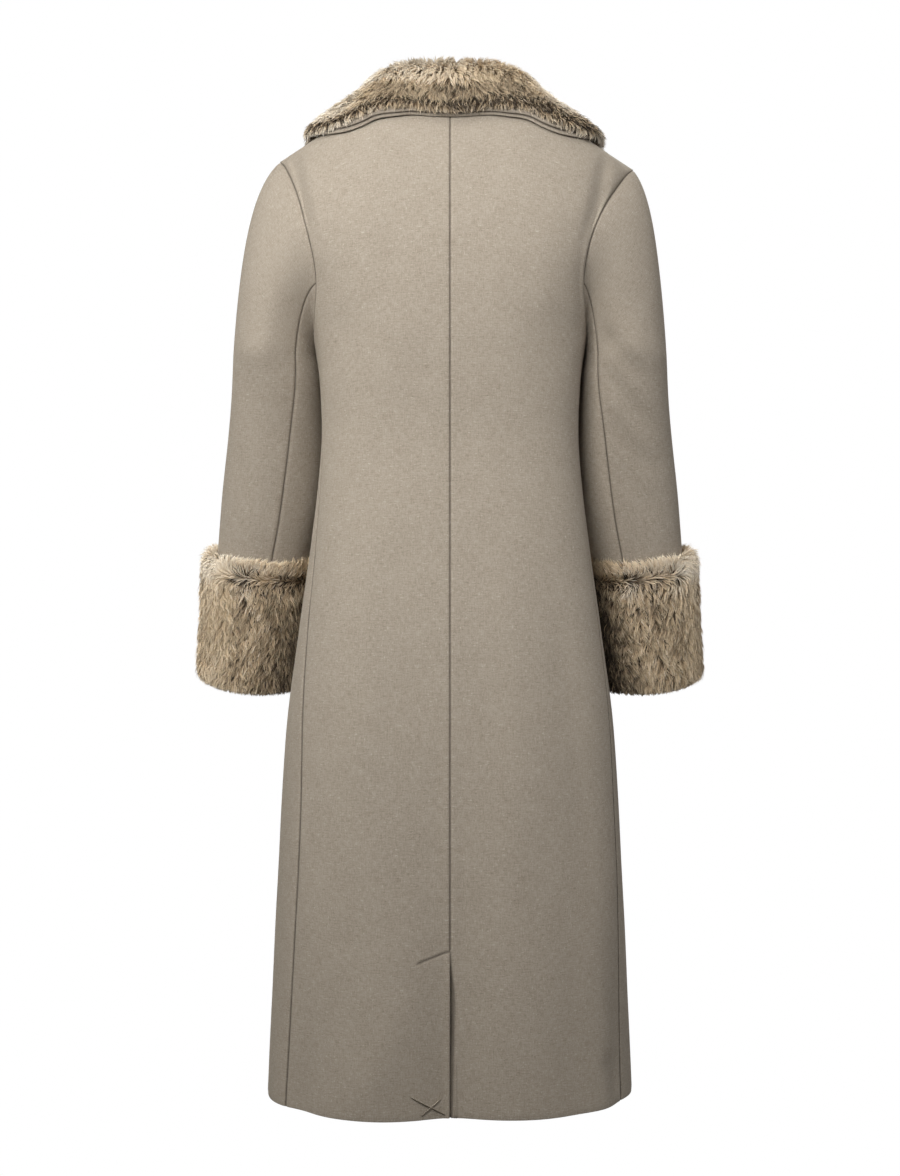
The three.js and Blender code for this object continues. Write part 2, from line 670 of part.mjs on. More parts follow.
// ---------------------------------------------------------------- fur cuffs
// Section of a cuff: height from bottom to top, and depth from the sleeve out to the fur's tips.
const CUFF_SECTION = [
  { up: 0.05, out: 0 }, { up: 0.28, out: 0 }, { up: 0.52, out: 0 },
  { up: 0.76, out: 0 }, { up: 0.975, out: 0 },
  { up: 1, out: 0.35 }, { up: 0.985, out: 0.72 }, { up: 0.93, out: 0.94 },
  { up: 0.75, out: 1.02 }, { up: 0.5, out: 1.04 }, { up: 0.25, out: 1.02 },
  { up: 0.06, out: 0.98 }, { up: 0, out: 0.82 }, { up: 0, out: 0.35 },
];
const CUFF_COLUMNS = 22;
const CUFF_EASE = 1.4;        // the cuff stands this far off the sleeve, less at its flats

/** A fur cuff: a thick soft ring round the end of the sleeve. */
function furCuff(side) {
  const sections = [];
  for (let i = 0; i < CUFF_COLUMNS; i += 1) {
    const angle = 360 * i / CUFF_COLUMNS;
    sections.push(CUFF_SECTION.map(({ up, out }) => {
      const outer = Math.max(0, Math.cos(angle * DEGREE)) ** 3;
      const z = mix(CUFF_BOTTOM + CUFF_LIFT * outer, CUFF_TOP, up);
      const lump = 1.2 * Math.sin(5 * angle * DEGREE + 7 * up) * out;
      const ring = sleeveRing(z);
      const mean = (ring.across + ring.deep) / 2;
      const radius = mix(CUFF_RADIUS.bottom, CUFF_RADIUS.top, up);
      const swell = mix(CUFF_EASE, radius - mean, out) + lump;
      const p = tubePoint(z, angle, swell);
      p.x += (CUFF_LEAN * up + CUFF_OUTSET) * out;
      return mirrored(p, side);
    }));
  }
  return sweptSolid(sections, true);
}

addPiece('fur_cuff_left', furCuff(LEFT), FUR_LOOK);
addPiece('fur_cuff_right', furCuff(RIGHT), FUR_LOOK);

// ---------------------------------------------------------------- collar
const collarEdgeBack = reader(COLLAR_EDGE_BACK);
const collarEdgeFront = reader(COLLAR_EDGE_FRONT);
const collarShape = reader(COLLAR_SHAPE);

/** The coat's surface under the collar: `out` is 0 at the neck edge and 1 at the cloth edge. */
function underCollar(side, along, out) {
  if (along <= 1) {
    const edge = collarEdgeBack(along);
    return backPoint(side, mix(NECK_SHARE * along, edge.across, out), mix(1, edge.up, out));
  }
  const edge = collarEdgeFront(along);
  const neckUp = mix(1, COLLAR_FRONT_END, along - 1);
  return frontPoint(side, mix(0, edge.across, out), mix(neckUp, edge.up, out));
}

/** A collar point before layering: up the stand, round the fold, then down the fall. */
function collarPoint(side, along, section) {
  const shape = collarShape(along);
  const neck = underCollar(side, along, 0);
  const edge = underCollar(side, along, 1);
  const outward = v3(edge.x - neck.x, edge.y - neck.y, 0).normalize();
  const rise = v3(0, 0, shape.stand).addScaledVector(outward, shape.lean);
  rise.y -= shape.stand * 0.9 * smooth(1.1, 1.7, along);
  rise.z *= 1 - 0.85 * smooth(1.1, 1.7, along);
  if (section < STAND_SHARE) {
    return neck.addScaledVector(rise, mix(0.03, 1, section / STAND_SHARE));
  }
  const out = (section - STAND_SHARE) / (1 - STAND_SHARE);
  const p = underCollar(side, along, out);
  p.addScaledVector(rise, (1 - out) ** 1.25);
  return p.addScaledVector(outward, FOLD_WIDTH * smooth(0, 0.15, out) * (1 - out) ** 0.5);
}

const COLLAR_STEPS = 16;      // from centre back to one front end
const collarStations = Array.from({ length: 2 * COLLAR_STEPS + 1 },
  (_, i) => 2 * (i - COLLAR_STEPS) / COLLAR_STEPS);
const COLLAR_SECTION = [0, 0.15, 0.25, 0.31, 0.38, 0.5, 0.66, 0.83, 1];
const FOLD_STEP = 4;          // the section's step where the collar's roll ends

/** The cloth collar's middle grid from one front end round the neck to the other. */
const collarGrid = collarStations.map((station) => {
  const side = station < 0 ? RIGHT : LEFT;
  return COLLAR_SECTION.map((section) => mirrored(
    collarPoint(side, Math.abs(station), section), side));
});
const collarNormals = gridNormals(collarGrid, -1);

/** The collar's grid moved off the coat by a height for each section. */
function collarRaised(height) {
  return collarGrid.map((row, i) => row.map((p, j) => p.clone()
    .addScaledVector(collarNormals[i][j], height(COLLAR_SECTION[j]))));
}

/** A row of the cloth collar's grid drawn in past its fold, to end short of the cloth's edge. */
function drawnIn(row, short) {
  const last = COLLAR_SECTION.length - 1;
  const fall = row[last].distanceTo(row[FOLD_STEP]);
  const share = 1 - Math.max(0, short) / fall;
  const fold = COLLAR_SECTION[FOLD_STEP];
  return row.map((p, j) => {
    if (j <= FOLD_STEP) return p;
    const section = mix(fold, mix(fold, 1, share), (COLLAR_SECTION[j] - fold) / (1 - fold));
    const k = COLLAR_SECTION.findIndex((place) => place >= section);
    const [from, to] = [COLLAR_SECTION[k - 1], COLLAR_SECTION[k]];
    return row[k - 1].clone().lerp(row[k], (section - from) / (to - from));
  });
}

/** Base clearance of the lowest layer, which grows towards the outer edge. */
const collarLift = (section) => 0.6 + 2 * smooth(STAND_SHARE, 1, section);

/** One cloth layer of the collar, counted from the coat. */
function collarLayer(layer) {
  const base = layer * COLLAR_LAYER;
  return wallBetween(
    collarRaised((section) => collarLift(section) + base + CLOTH),
    collarRaised((section) => collarLift(section) + base),
  );
}

addPiece('collar_under', collarLayer(0), CLOTH_LOOK);
addPiece('collar_upper', collarLayer(1), CLOTH_LOOK);

/** The fur: its section lies on the upper collar, swells over the fold and closes at its edge. */
function furCollar() {
  const base = 2 * COLLAR_LAYER + FUR_EASE;
  const last = COLLAR_SECTION.length - 1;
  const grid = collarStations.map((station, i) => drawnIn(
    collarGrid[i], collarShape(Math.abs(station)).short));
  const normals = gridNormals(grid, -1);
  const sections = collarStations.map((station, i) => {
    const along = Math.abs(station);
    const { pile, reach } = collarShape(along);
    const row = grid[i];
    const normal = normals[i];
    const raised = (j, height) => row[j].clone()
      .addScaledVector(normal[j], collarLift(COLLAR_SECTION[j]) + base + height);
    const backing = row.map((_, j) => raised(j, 0));
    const tips = row.map((_, j) => {
      const share = mix(0.2, 1, smooth(0.1, 0.45, COLLAR_SECTION[j]));
      const lump = 1 + 0.06 * Math.sin(9 * along + 5 * COLLAR_SECTION[j]);
      return raised(j, pile * share * lump);
    });
    const onward = row[last].clone().sub(row[last - 1]).normalize();
    const rim = backing[last].clone().addScaledVector(onward, reach * 0.75)
      .addScaledVector(normal[last], 1.5);
    const brow = backing[last].clone().addScaledVector(onward, reach)
      .addScaledVector(normal[last], pile * 0.45);
    return [...backing, rim, brow, ...tips.reverse()];
  });
  return sweptSolid(sections, false);
}

addPiece('fur_collar', furCollar(), FUR_LOOK);

// ---------------------------------------------------------------- buttons
/** A round four-hole button with a sunk middle; its back is at y = 0 and its face at -thick. */
function buttonGeometry() {
  const { radius, thick, holeRadius, holeOffset } = BUTTON;
  const profile = [
    { r: 0, h: 0 }, { r: radius - 1.5, h: 0 }, { r: radius, h: 1.4 }, { r: radius, h: thick - 1.4 },
    { r: radius - 1.5, h: thick }, { r: radius - 3.5, h: thick }, { r: radius - 5, h: thick - 1.6 },
    { r: 0, h: thick - 1.6 },
  ].map(({ r, h }) => new THREE.Vector2(r, h));
  let solid = toSolid(new THREE.LatheGeometry(profile, 20).rotateX(Math.PI));
  for (const [x, z] of [[1, 1], [1, -1], [-1, 1], [-1, -1]]) {
    const drill = new THREE.CylinderGeometry(holeRadius, holeRadius, 3 * thick, 6);
    drill.translate(x * holeOffset, 0, z * holeOffset);
    solid = solid.subtract(toSolid(drill));
  }
  return fromSolid(solid);
}

for (let i = 0; i < BUTTON.count; i += 1) {
  const z = BUTTON.top - i * BUTTON.pitch;
  const heights = [z - BUTTON.radius, z, z + BUTTON.radius];
  const face = Math.min(...heights.map((height) => ringPoint(RIGHT, height, 180).y));
  addPiece(`button_${i + 1}`, buttonGeometry().translate(0, face - SEAM_GAP, z), BUTTON_LOOK);
}

export default coat;
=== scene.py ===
"""A long winter coat in heathered wool cloth with a faux-fur collar and deep faux-fur cuffs.

Every surface is a grid of points in millimetres, worked out as whole arrays and put into a mesh in
metres. +Z is up, -Y is the coat's front and +X is the wearer's left. The origin lies midway between
the two side-neck points.
"""

import math

import bpy
import numpy as np
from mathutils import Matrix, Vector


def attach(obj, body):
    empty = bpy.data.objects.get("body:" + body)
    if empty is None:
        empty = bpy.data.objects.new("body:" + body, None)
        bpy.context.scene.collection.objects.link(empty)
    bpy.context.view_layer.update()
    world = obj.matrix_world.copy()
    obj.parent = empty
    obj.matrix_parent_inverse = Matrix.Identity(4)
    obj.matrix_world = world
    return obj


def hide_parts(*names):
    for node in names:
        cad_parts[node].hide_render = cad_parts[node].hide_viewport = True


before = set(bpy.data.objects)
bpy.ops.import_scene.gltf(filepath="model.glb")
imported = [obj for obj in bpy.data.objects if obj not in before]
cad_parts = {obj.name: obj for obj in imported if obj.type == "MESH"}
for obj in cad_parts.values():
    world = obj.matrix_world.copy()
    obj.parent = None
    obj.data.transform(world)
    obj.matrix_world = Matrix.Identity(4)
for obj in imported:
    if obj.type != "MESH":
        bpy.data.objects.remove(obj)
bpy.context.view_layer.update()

# ------------------------------------------------------------------ sizes, in millimetres
HEM, UNDERARM, CLOSURE = -1184.0, -290.0, -340.0
CLOTH = 2.0  # wall of the coat cloth
SEAM_SHADE, SEAM_REACH = 0.85, 0.9  # a seam's painted shade in its middle, and how far it reaches
BUTTON_GAP = 0.3  # from a button's back to the front under it
NECK_HALF = 78.0
TIP = (212.0, 6.0, -83.0)  # shoulder tip
SHOULDER_SLOPE = 0.6
FRONT_OVERLAP, UNDERLAP_DROP = 28.0, 3.4
VENT_TOP, VENT_LAP, VENT_SLANT = -998.0, 38.0, 13.0
CUFF_TOP, CUFF_BOTTOM, CUFF_LIFT = -549.0, -709.0, 3.0
CUFF_LEAN, CUFF_OUTSET, CUFF_EASE = 7.0, 2.5, 1.4
CUFF_RADIUS = (69.5, 71.5)  # bottom, top
SLEEVE_TOP_RING, SLEEVE_END = -310.0, -700.0
ARMHOLE_TURN = 28.0
CAP_FULLNESS, UNDERARM_SWELL = 6.0, 3.7
COLLAR_LAYER, FOLD_WIDTH, STAND_SHARE, COLLAR_FRONT_END = 2.4, 5.0, 0.3, 0.37
BUTTON_RADIUS = 14.0
BUTTON_HEIGHTS = (-368.0, -503.0, -638.0)
LEFT, RIGHT = 1, -1
NECK_SHARE = 5 / 12  # share of the back's upper edge that is neck
ROUND, SEAM_STEP = 20, 3  # armhole steps all round, and where the sleeve's long seams start


def table(columns, *rows):
    """Rows of numbers by their first column, `at`; `columns` names them for the reader."""
    data = np.array(sorted(rows), float)
    assert data.shape[1] == len(columns.split())
    return data


BODY_RINGS = table(
    "at half back front square",
    (HEM, 217, 167, 160, 2.75), (-1030, 210, 158, 152, 2.65), (-840, 200.5, 146, 143, 2.6),
    (-740, 194, 138, 136, 2.55), (-640, 181, 129, 131, 2.5), (-540, 166, 118, 124, 2.55),
    (-420, 154, 110, 122, 2.6), (-340, 156, 116, 129, 2.65), (UNDERARM, 163, 121, 133, 2.65),
)
SIDE_SEAM = table(
    "at left right", (HEM, 61, 69), (-850, 61, 72), (-600, 70, 77), (UNDERARM, 82, 82),
)
# Soft folds of the skirt, deepest at the hem: degrees from centre back, width, outward depth, top.
SKIRT_FOLDS = (
    (0, 13, -12, -640), (27, 18, 12, -820), (54, 8, -7, -960), (-28, 14, 4, -760),
    (-47, 9, -5, -700), (-67, 9, -8, -900), (108, 13, -6, -760), (138, 15, 6, -700),
    (-112, 13, -7, -720), (-140, 15, 6, -760),
)
CENTRE_BACK = table(
    "at y z", (0, 121, UNDERARM), (0.3, 122, -225), (0.6, 116, -150), (0.8, 98, -85),
    (0.92, 76, -45), (1, 57, -22),
)
FRONT_NECK_ROWS = (
    (0.2, -8, -131, -298), (0.4, 18, -127, -240), (0.6, 42, -115, -175), (0.8, 62, -84, -98),
    (0.92, 73, -42, -38), (1, NECK_HALF, 0, 0),
)
ARMHOLE_BACK_ROWS = (
    (0.15, 159, 50, -264), (0.3, 156, 70, -234), (0.45, 159, 82, -203), (0.6, 169, 80, -166),
    (0.75, 183, 60, -130), (0.9, 202, 26, -95), (1, *TIP),
)
ARMHOLE_FRONT_ROWS = (
    (0.15, 161, -12, -283), (0.3, 154, -45, -262), (0.45, 149, -67, -225), (0.6, 155, -72, -182),
    (0.75, 172, -58, -140), (0.9, 197, -24, -100), (1, *TIP),
)
SLEEVE_RINGS = table(
    "at x y across deep",
    (SLEEVE_END - 20, 252, -117, 50, 50), (-640, 243, -101, 52, 52), (-560, 233, -83, 56, 54),
    (-490, 221, -64, 60, 56), (-420, 213, -44, 58.5, 59), (-360, 210.2, -26, 54.5, 62),
    (SLEEVE_TOP_RING, 212.5, -10, 48, 64),
)
SLEEVE_SEAMS = table(
    "at left_back right_back inner front",
    (SLEEVE_END, 107, 113, 176, 238), (-520, 105, 112, 176, 238), (-400, 112, 119, 174, 240),
    (SLEEVE_TOP_RING, 129, 140, 166, 240),
)
COLLAR_EDGE_BACK = table(
    "at across up", (0, 0, 0.94), (0.2, 0.165, 0.932), (0.4, 0.33, 0.9), (0.65, 0.53, 0.878),
    (0.85, 0.69, 0.92), (1, 0.79, 1),
)
COLLAR_EDGE_FRONT = table(
    "at across up", (1, 0.64, 1), (1.2, 0.6, 0.88), (1.45, 0.48, 0.68), (1.75, 0.34, 0.46),
    (2, 0.17, 0.32),
)
COLLAR_SHAPE = table(
    "at stand lean pile short reach", (0, 38, 3, 17, 11, 7), (0.35, 34, 3, 17, 15, 6),
    (0.65, 20, 4, 17, 16, 7), (0.85, 8, 4, 14, 8, 9), (1, 3, 3, 12, 2, 14),
    (1.2, 4, 3, 15, 0, 18), (1.4, 6, 3, 16, 0, 20), (1.75, 5, 0, 15, 0, 15), (2, 3, 0, 11, 0, 10),
)
# The cuff's section round its outside: place along it, height share and depth share.
CUFF_SECTION = table(
    "at up out", (0, 0.975, 0), (0.07, 1, 0.35), (0.14, 0.985, 0.72), (0.21, 0.93, 0.94),
    (0.36, 0.75, 1.02), (0.55, 0.5, 1.04), (0.74, 0.25, 1.02), (0.87, 0.06, 0.98),
    (0.94, 0, 0.82), (1, 0, 0.35),
)


# ------------------------------------------------------------------ small helpers
def mix(a, b, t):
    return a + (b - a) * t


def smooth(start, end, t):
    """0 before `start`, 1 after `end`, and 3k^2 - 2k^3 between, k being the share of the way."""
    k = np.clip((np.asarray(t, float) - start) / (end - start), 0, 1)
    return k * k * (3 - 2 * k)


def read(rows, at):
    """A table's other columns at each `at`: a cubic between two rows, whose slope at a row is that
    of the chord between the rows beside it. Flat past either end."""
    at = np.asarray(at, float)
    x, y = rows[:, 0], rows[:, 1:]
    slope = np.empty_like(y)
    slope[1:-1] = (y[2:] - y[:-2]) / (x[2:] - x[:-2])[:, None]
    slope[0], slope[-1] = (y[1] - y[0]) / (x[1] - x[0]), (y[-1] - y[-2]) / (x[-1] - x[-2])
    i = np.clip(np.searchsorted(x, at, side="left") - 1, 0, len(x) - 2)
    span = (x[i + 1] - x[i])[..., None]
    t = np.clip((at[..., None] - x[i][..., None]) / span, 0, 1)
    value = (
        (2 * t**3 - 3 * t**2 + 1) * y[i] + (t**3 - 2 * t**2 + t) * slope[i] * span
        + (3 * t**2 - 2 * t**3) * y[i + 1] + (t**3 - t**2) * slope[i + 1] * span
    )
    return np.moveaxis(value, -1, 0)


def point(x, y, z):
    """Stacks coordinates that may have different shapes into one array of points."""
    return np.stack(np.broadcast_arrays(x, y, z), axis=-1).astype(float)


def unit(v):
    return v / np.maximum(np.linalg.norm(v, axis=-1, keepdims=True), 1e-9)


def bell(distance, width):
    """exp(-(distance / width)^2), a soft bump of height 1."""
    return np.exp(-((distance / width) ** 2))


# ------------------------------------------------------------------ the body's form
def seam_angle(side, z):
    """Degrees from centre back to the side seam."""
    left, right = read(SIDE_SEAM, z)
    return left if side == LEFT else right


def fold_push(angle, z):
    """Sum over the folds of depth * rise from the fold's top to the hem * bell of the angle."""
    push = 0.0
    for centre, width, depth, top in SKIRT_FOLDS:
        apart = (angle - centre + 540) % 360 - 180
        push = push + depth * smooth(top, HEM, z) * bell(apart, width)
    return push


def ring_point(side, z, angle):
    """The body's ring: a superellipse in polar form, pushed out by the skirt's folds."""
    half, back, front, square = read(BODY_RINGS, z)
    s, c = np.sin(np.radians(angle)), np.cos(np.radians(angle))
    depth = np.where(c > 0, back, front)
    plain = ((np.abs(s) / half) ** square + (np.abs(c) / depth) ** square) ** (-1 / square)
    radius = plain + fold_push(side * angle, z)
    return point(radius * s, radius * c, z)


def front_edge_angle(z):
    """Degrees from centre back, by way of the side, to the edge of the front that laps over."""
    return 180 + np.degrees(np.arctan(FRONT_OVERLAP / read(BODY_RINGS, z)[2]))


def started(start, rows):
    """Rows of a curve that begins at the point `start`."""
    return np.array([(0, *start), *rows], float)


underarm = ring_point(LEFT, UNDERARM, seam_angle(LEFT, UNDERARM))
closure = ring_point(LEFT, CLOSURE, front_edge_angle(CLOSURE))
FRONT_NECK = started(closure, FRONT_NECK_ROWS)
ARMHOLE_BACK = started(underarm, ARMHOLE_BACK_ROWS)
ARMHOLE_FRONT = started(underarm, ARMHOLE_FRONT_ROWS)


def armhole_point(side, rows, up):
    """The armhole's curve; the left shoulder tip sits a little nearer the neck than the right."""
    x, y, z = read(rows, up)
    shift = (-8 if side == LEFT else 8) * smooth(0.5, 1, up)
    return point(x + shift, y, z - SHOULDER_SLOPE * shift)


def row_point(side, centre, edge, ring_z, centre_angle, edge_angle, across):
    """The ring's own curve between two angles, stretched to run from `centre` to `edge`."""
    a, b = ring_point(side, ring_z, centre_angle), ring_point(side, ring_z, edge_angle)
    p = ring_point(side, ring_z, mix(centre_angle, edge_angle, across))
    return point(
        mix(centre[..., 0], edge[..., 0], (p[..., 0] - a[..., 0]) / (b[..., 0] - a[..., 0])),
        mix(edge[..., 1], centre[..., 1], (p[..., 1] - b[..., 1]) / (a[..., 1] - b[..., 1])),
        mix(centre[..., 2], edge[..., 2], smooth(0, 1, across)),
    )


def shoulder_point(side, t):
    """The shoulder seam, straight from the side-neck point to the shoulder tip."""
    tip = armhole_point(side, ARMHOLE_BACK, 1.0)
    return point(mix(NECK_HALF, tip[0], t), mix(0, tip[1], t), mix(0, tip[2], t))


def back_top(side, across):
    """The back's upper edge: a quarter ellipse along the neck, then the shoulder seam."""
    t = np.clip(across / NECK_SHARE, 0, 1) * math.pi / 2
    nape_y, nape_z = CENTRE_BACK[-1, 1:]
    cosine = np.clip(np.cos(t), 0, 1)
    neck = point(NECK_HALF * np.sin(t), nape_y * cosine, nape_z * cosine**1.5)
    seam = shoulder_point(side, (across - NECK_SHARE) / (1 - NECK_SHARE))
    return np.where((across > NECK_SHARE)[..., None], seam, neck)


def drape_depth(p, across, up):
    """The soft fold beside the armhole: a bell about a slanting line, faded at both ends."""
    t = (p[..., 2] + 78) / (-178 + 78)
    off_line = p[..., 0] - mix(184, 166, t)
    fade = (
        smooth(-0.15, 0.25, t) * smooth(-1.35, -0.8, -t) * smooth(-1, -0.9, -across)
        * smooth(-1, -0.94, -up)
    )
    return 7 * fade * bell(off_line, 10)


def leant(p, plain_top, top, up):
    """Leans a row towards the panel's upper edge by what parts the plain top row from it."""
    late, early = up**12, up**4
    return p + (top - plain_top) * np.stack(np.broadcast_arrays(late, late, early), axis=-1)


def back_point(side, across, up):
    """The back panel: `up` is -1 at the hem, 0 at the underarm and 1 at neck and shoulder."""
    across, up = np.broadcast_arrays(np.asarray(across, float), np.asarray(up, float))
    ring_z = mix(UNDERARM, HEM, np.clip(-up, 0, 1))
    edge_angle = seam_angle(side, ring_z)
    skirt = ring_point(side, ring_z, edge_angle * across)
    rise = np.clip(up, 0, 1)

    def row(level):
        y, z = read(CENTRE_BACK, level)
        return row_point(side, point(0 * y, y, z), armhole_point(side, ARMHOLE_BACK, level),
                         ring_z, 0.0, edge_angle, across)

    yoke = leant(row(rise), row(np.ones_like(rise)), back_top(side, across), rise)
    yoke[..., 1] -= drape_depth(yoke, across, rise)
    return np.where((up > 0)[..., None], yoke, skirt)


def front_point(side, across, up):
    """The front panel, `across` from 0 at its front edge to 1 at side seam and armhole."""
    across, up = np.broadcast_arrays(np.asarray(across, float), np.asarray(up, float))
    fall = np.clip(-up, 0, 1)
    side_z, edge_z = mix(UNDERARM, HEM, fall), mix(CLOSURE, HEM, fall)
    rise = np.clip(up, 0, 1)
    turn = seam_angle(side, side_z) + ARMHOLE_TURN * smooth(0, 0.3, rise)

    def row(level, high):
        if high:
            x, y, z = read(FRONT_NECK, level)
            centre, edge = point(x, y, z), armhole_point(side, ARMHOLE_FRONT, level)
        else:
            centre = ring_point(side, edge_z, front_edge_angle(edge_z))
            edge = ring_point(side, side_z, seam_angle(side, side_z))
        return row_point(side, centre, edge, mix(edge_z, side_z, across),
                         front_edge_angle(edge_z), turn, across)

    high = leant(row(rise, True), row(np.ones_like(rise), True), shoulder_point(side, across), rise)
    p = np.where((up > 0)[..., None], high, row(rise, False))
    if side == LEFT:
        p[..., 1] += UNDERLAP_DROP * smooth(-FRONT_OVERLAP - 28, -FRONT_OVERLAP - 6, -p[..., 0])
    return p


def inward(p):
    """The way from a point on a seam into the coat, the same for every piece that meets there."""
    half, back, front, square = read(BODY_RINGS, p[..., 2])
    depth = np.where(p[..., 1] > 0, back, front)
    x = -np.sign(p[..., 0]) * np.abs(p[..., 0]) ** (square - 1) / half**square
    y = -np.sign(p[..., 1]) * np.abs(p[..., 1]) ** (square - 1) / depth**square
    low = unit(point(x, y, 0 * x))
    high = unit(point(np.minimum(p[..., 0], 150) - p[..., 0], -p[..., 1], -190 - p[..., 2]))
    return np.where((p[..., 2] < UNDERARM - 1)[..., None], low, high)


# ------------------------------------------------------------------ grids to meshes
def grid_normals(grid, to_out):
    """Unit normals of a grid: the way across times the way along, on the side `to_out` names."""
    along, over = np.gradient(grid, axis=0), np.gradient(grid, axis=1)
    return unit(np.cross(over, along)) * to_out


def lengths(grid, axis):
    """Distance from the grid's first row or column along it, for each of its points."""
    steps = np.linalg.norm(np.diff(grid, axis=axis), axis=-1)
    start = np.zeros_like(np.take(steps, [0], axis=axis))
    return np.concatenate([start, np.cumsum(steps, axis=axis)], axis=axis)


def quads_of(rows, columns, closed=False):
    """Corner numbers of the faces of a grid; a closed grid joins its last column to its first."""
    i, j = np.meshgrid(np.arange(rows - 1), np.arange(columns - (0 if closed else 1)), indexing="ij")
    k = (j + 1) % columns
    return np.stack([i * columns + j, i * columns + k, (i + 1) * columns + k, (i + 1) * columns + j],
                    axis=-1).reshape(-1, 4)


def volume(points, quads):
    """Signed volume inside closed quads: a sixth of the sum of a . (b x c) over their triangles."""
    a, b, c, d = (points[quads[:, k]] for k in range(4))
    return float((a * np.cross(b, c)).sum() + (a * np.cross(c, d)).sum()) / 6


def mesh_object(name, points, faces, finish, uv=None, attributes=()):
    """One object from points in millimetres, faces as arrays of corner numbers, a UV for each point
    in metres, and named numbers for each point."""
    faces = [np.asarray(f) for f in faces]
    corners = np.concatenate([f.ravel() for f in faces]).astype(np.int32)
    sizes = np.concatenate([np.full(len(f), f.shape[1]) for f in faces]).astype(np.int32)
    mesh = bpy.data.meshes.new(name)
    mesh.vertices.add(len(points))
    mesh.vertices.foreach_set("co", (np.asarray(points) / 1000).astype(np.float32).ravel())
    mesh.loops.add(len(corners))
    mesh.loops.foreach_set("vertex_index", corners)
    mesh.polygons.add(len(sizes))
    starts = np.concatenate([[0], np.cumsum(sizes)[:-1]]).astype(np.int32)
    mesh.polygons.foreach_set("loop_start", starts)
    mesh.update(calc_edges=True)
    mesh.polygons.foreach_set("use_smooth", np.full(len(sizes), True))
    if uv is not None:
        layer = mesh.uv_layers.new(name="UVMap")
        layer.data.foreach_set("uv", uv[corners].astype(np.float32).ravel())
    for label, values in attributes:
        kind = "FLOAT" if values.ndim == 1 else "FLOAT_VECTOR"
        made = mesh.attributes.new(label, kind, "POINT")
        field = "value" if values.ndim == 1 else "vector"
        made.data.foreach_set(field, values.astype(np.float32).ravel())
    mesh.validate()
    mesh.materials.append(finish)
    obj = bpy.data.objects.new(name, mesh)
    bpy.context.scene.collection.objects.link(obj)
    return obj


def cloth_wall(name, outer, inner, uv, painted_shade):
    """Cloth between two grids of the same size, closed round its four edges, its faces out. The last
    argument is how much painted shade, as of a seam's shadow, each point carries, 0 to 1."""
    rows, columns = outer.shape[:2]
    count = rows * columns
    points = np.concatenate([outer.reshape(-1, 3), inner.reshape(-1, 3)])
    face = quads_of(rows, columns)
    number = np.arange(count).reshape(rows, columns)
    rim = np.concatenate([number[0, :-1], number[:-1, -1], number[-1, :0:-1], number[:0:-1, 0]])
    ahead = np.roll(rim, -1)
    sides = np.stack([ahead, rim, rim + count, ahead + count], axis=-1)
    quads = np.concatenate([face, face[:, ::-1] + count, sides])
    if volume(points, quads) < 0:
        quads = quads[:, ::-1]
    uvs = np.concatenate([uv.reshape(-1, 2)] * 2)
    painted_shades = np.tile(np.broadcast_to(painted_shade, (rows, columns)).ravel(), 2)
    # The 'seam' attribute carries painted shade: darker along seams, in the vent's gap and at the
    # collar layers' edges.
    return mesh_object(name, points, [quads], WOOL, uvs, [("seam", painted_shades)])


def mirrored(grid, side):
    """The left side's points as they are, and the right side's turned over to -X."""
    return grid * np.array([side, 1, 1])


def cloth_uv(grid):
    """Cloth coordinates in metres: the distance along each row, and along the middle column."""
    across = lengths(grid, 1)
    along = lengths(grid, 0)[:, [grid.shape[1] // 2]]
    return np.stack(np.broadcast_arrays(across, along), axis=-1) / 1000


# ------------------------------------------------------------------ materials
def linear(code):
    """An sRGB hex colour as linear numbers: (c / 12.92) when dark, else ((c + .055) / 1.055)^2.4."""
    c = np.array([int(code[i:i + 2], 16) for i in (1, 3, 5)]) / 255
    c = np.where(c <= 0.04045, c / 12.92, ((c + 0.055) / 1.055) ** 2.4)
    return (*c.tolist(), 1.0)


def material(name):
    made = bpy.data.materials.new(name)
    made.use_nodes = True
    made.node_tree.nodes.clear()
    return made


def node(tree, kind, links=(), stops=(), **settings):
    """Adds a node. `links` pairs each input with a value, an output, or a node, whose first output
    is then meant. `stops` are a colour ramp's places and hex colours."""
    made = tree.nodes.new(kind)
    for key, value in settings.items():
        setattr(made, key, value)
    if stops:
        elements = made.color_ramp.elements
        while len(elements) < len(stops):
            elements.new(0.5)
        for element, (place, code) in zip(elements, stops):
            element.position = place
            element.color = linear(code)
    for key, value in dict(links).items():
        if isinstance(value, bpy.types.Node):
            value = value.outputs[0]
        if isinstance(value, bpy.types.NodeSocket):
            tree.links.new(value, made.inputs[key])
        else:
            made.inputs[key].default_value = value
    return made


THREAD_SPACING = 1.3  # millimetres, as drawn


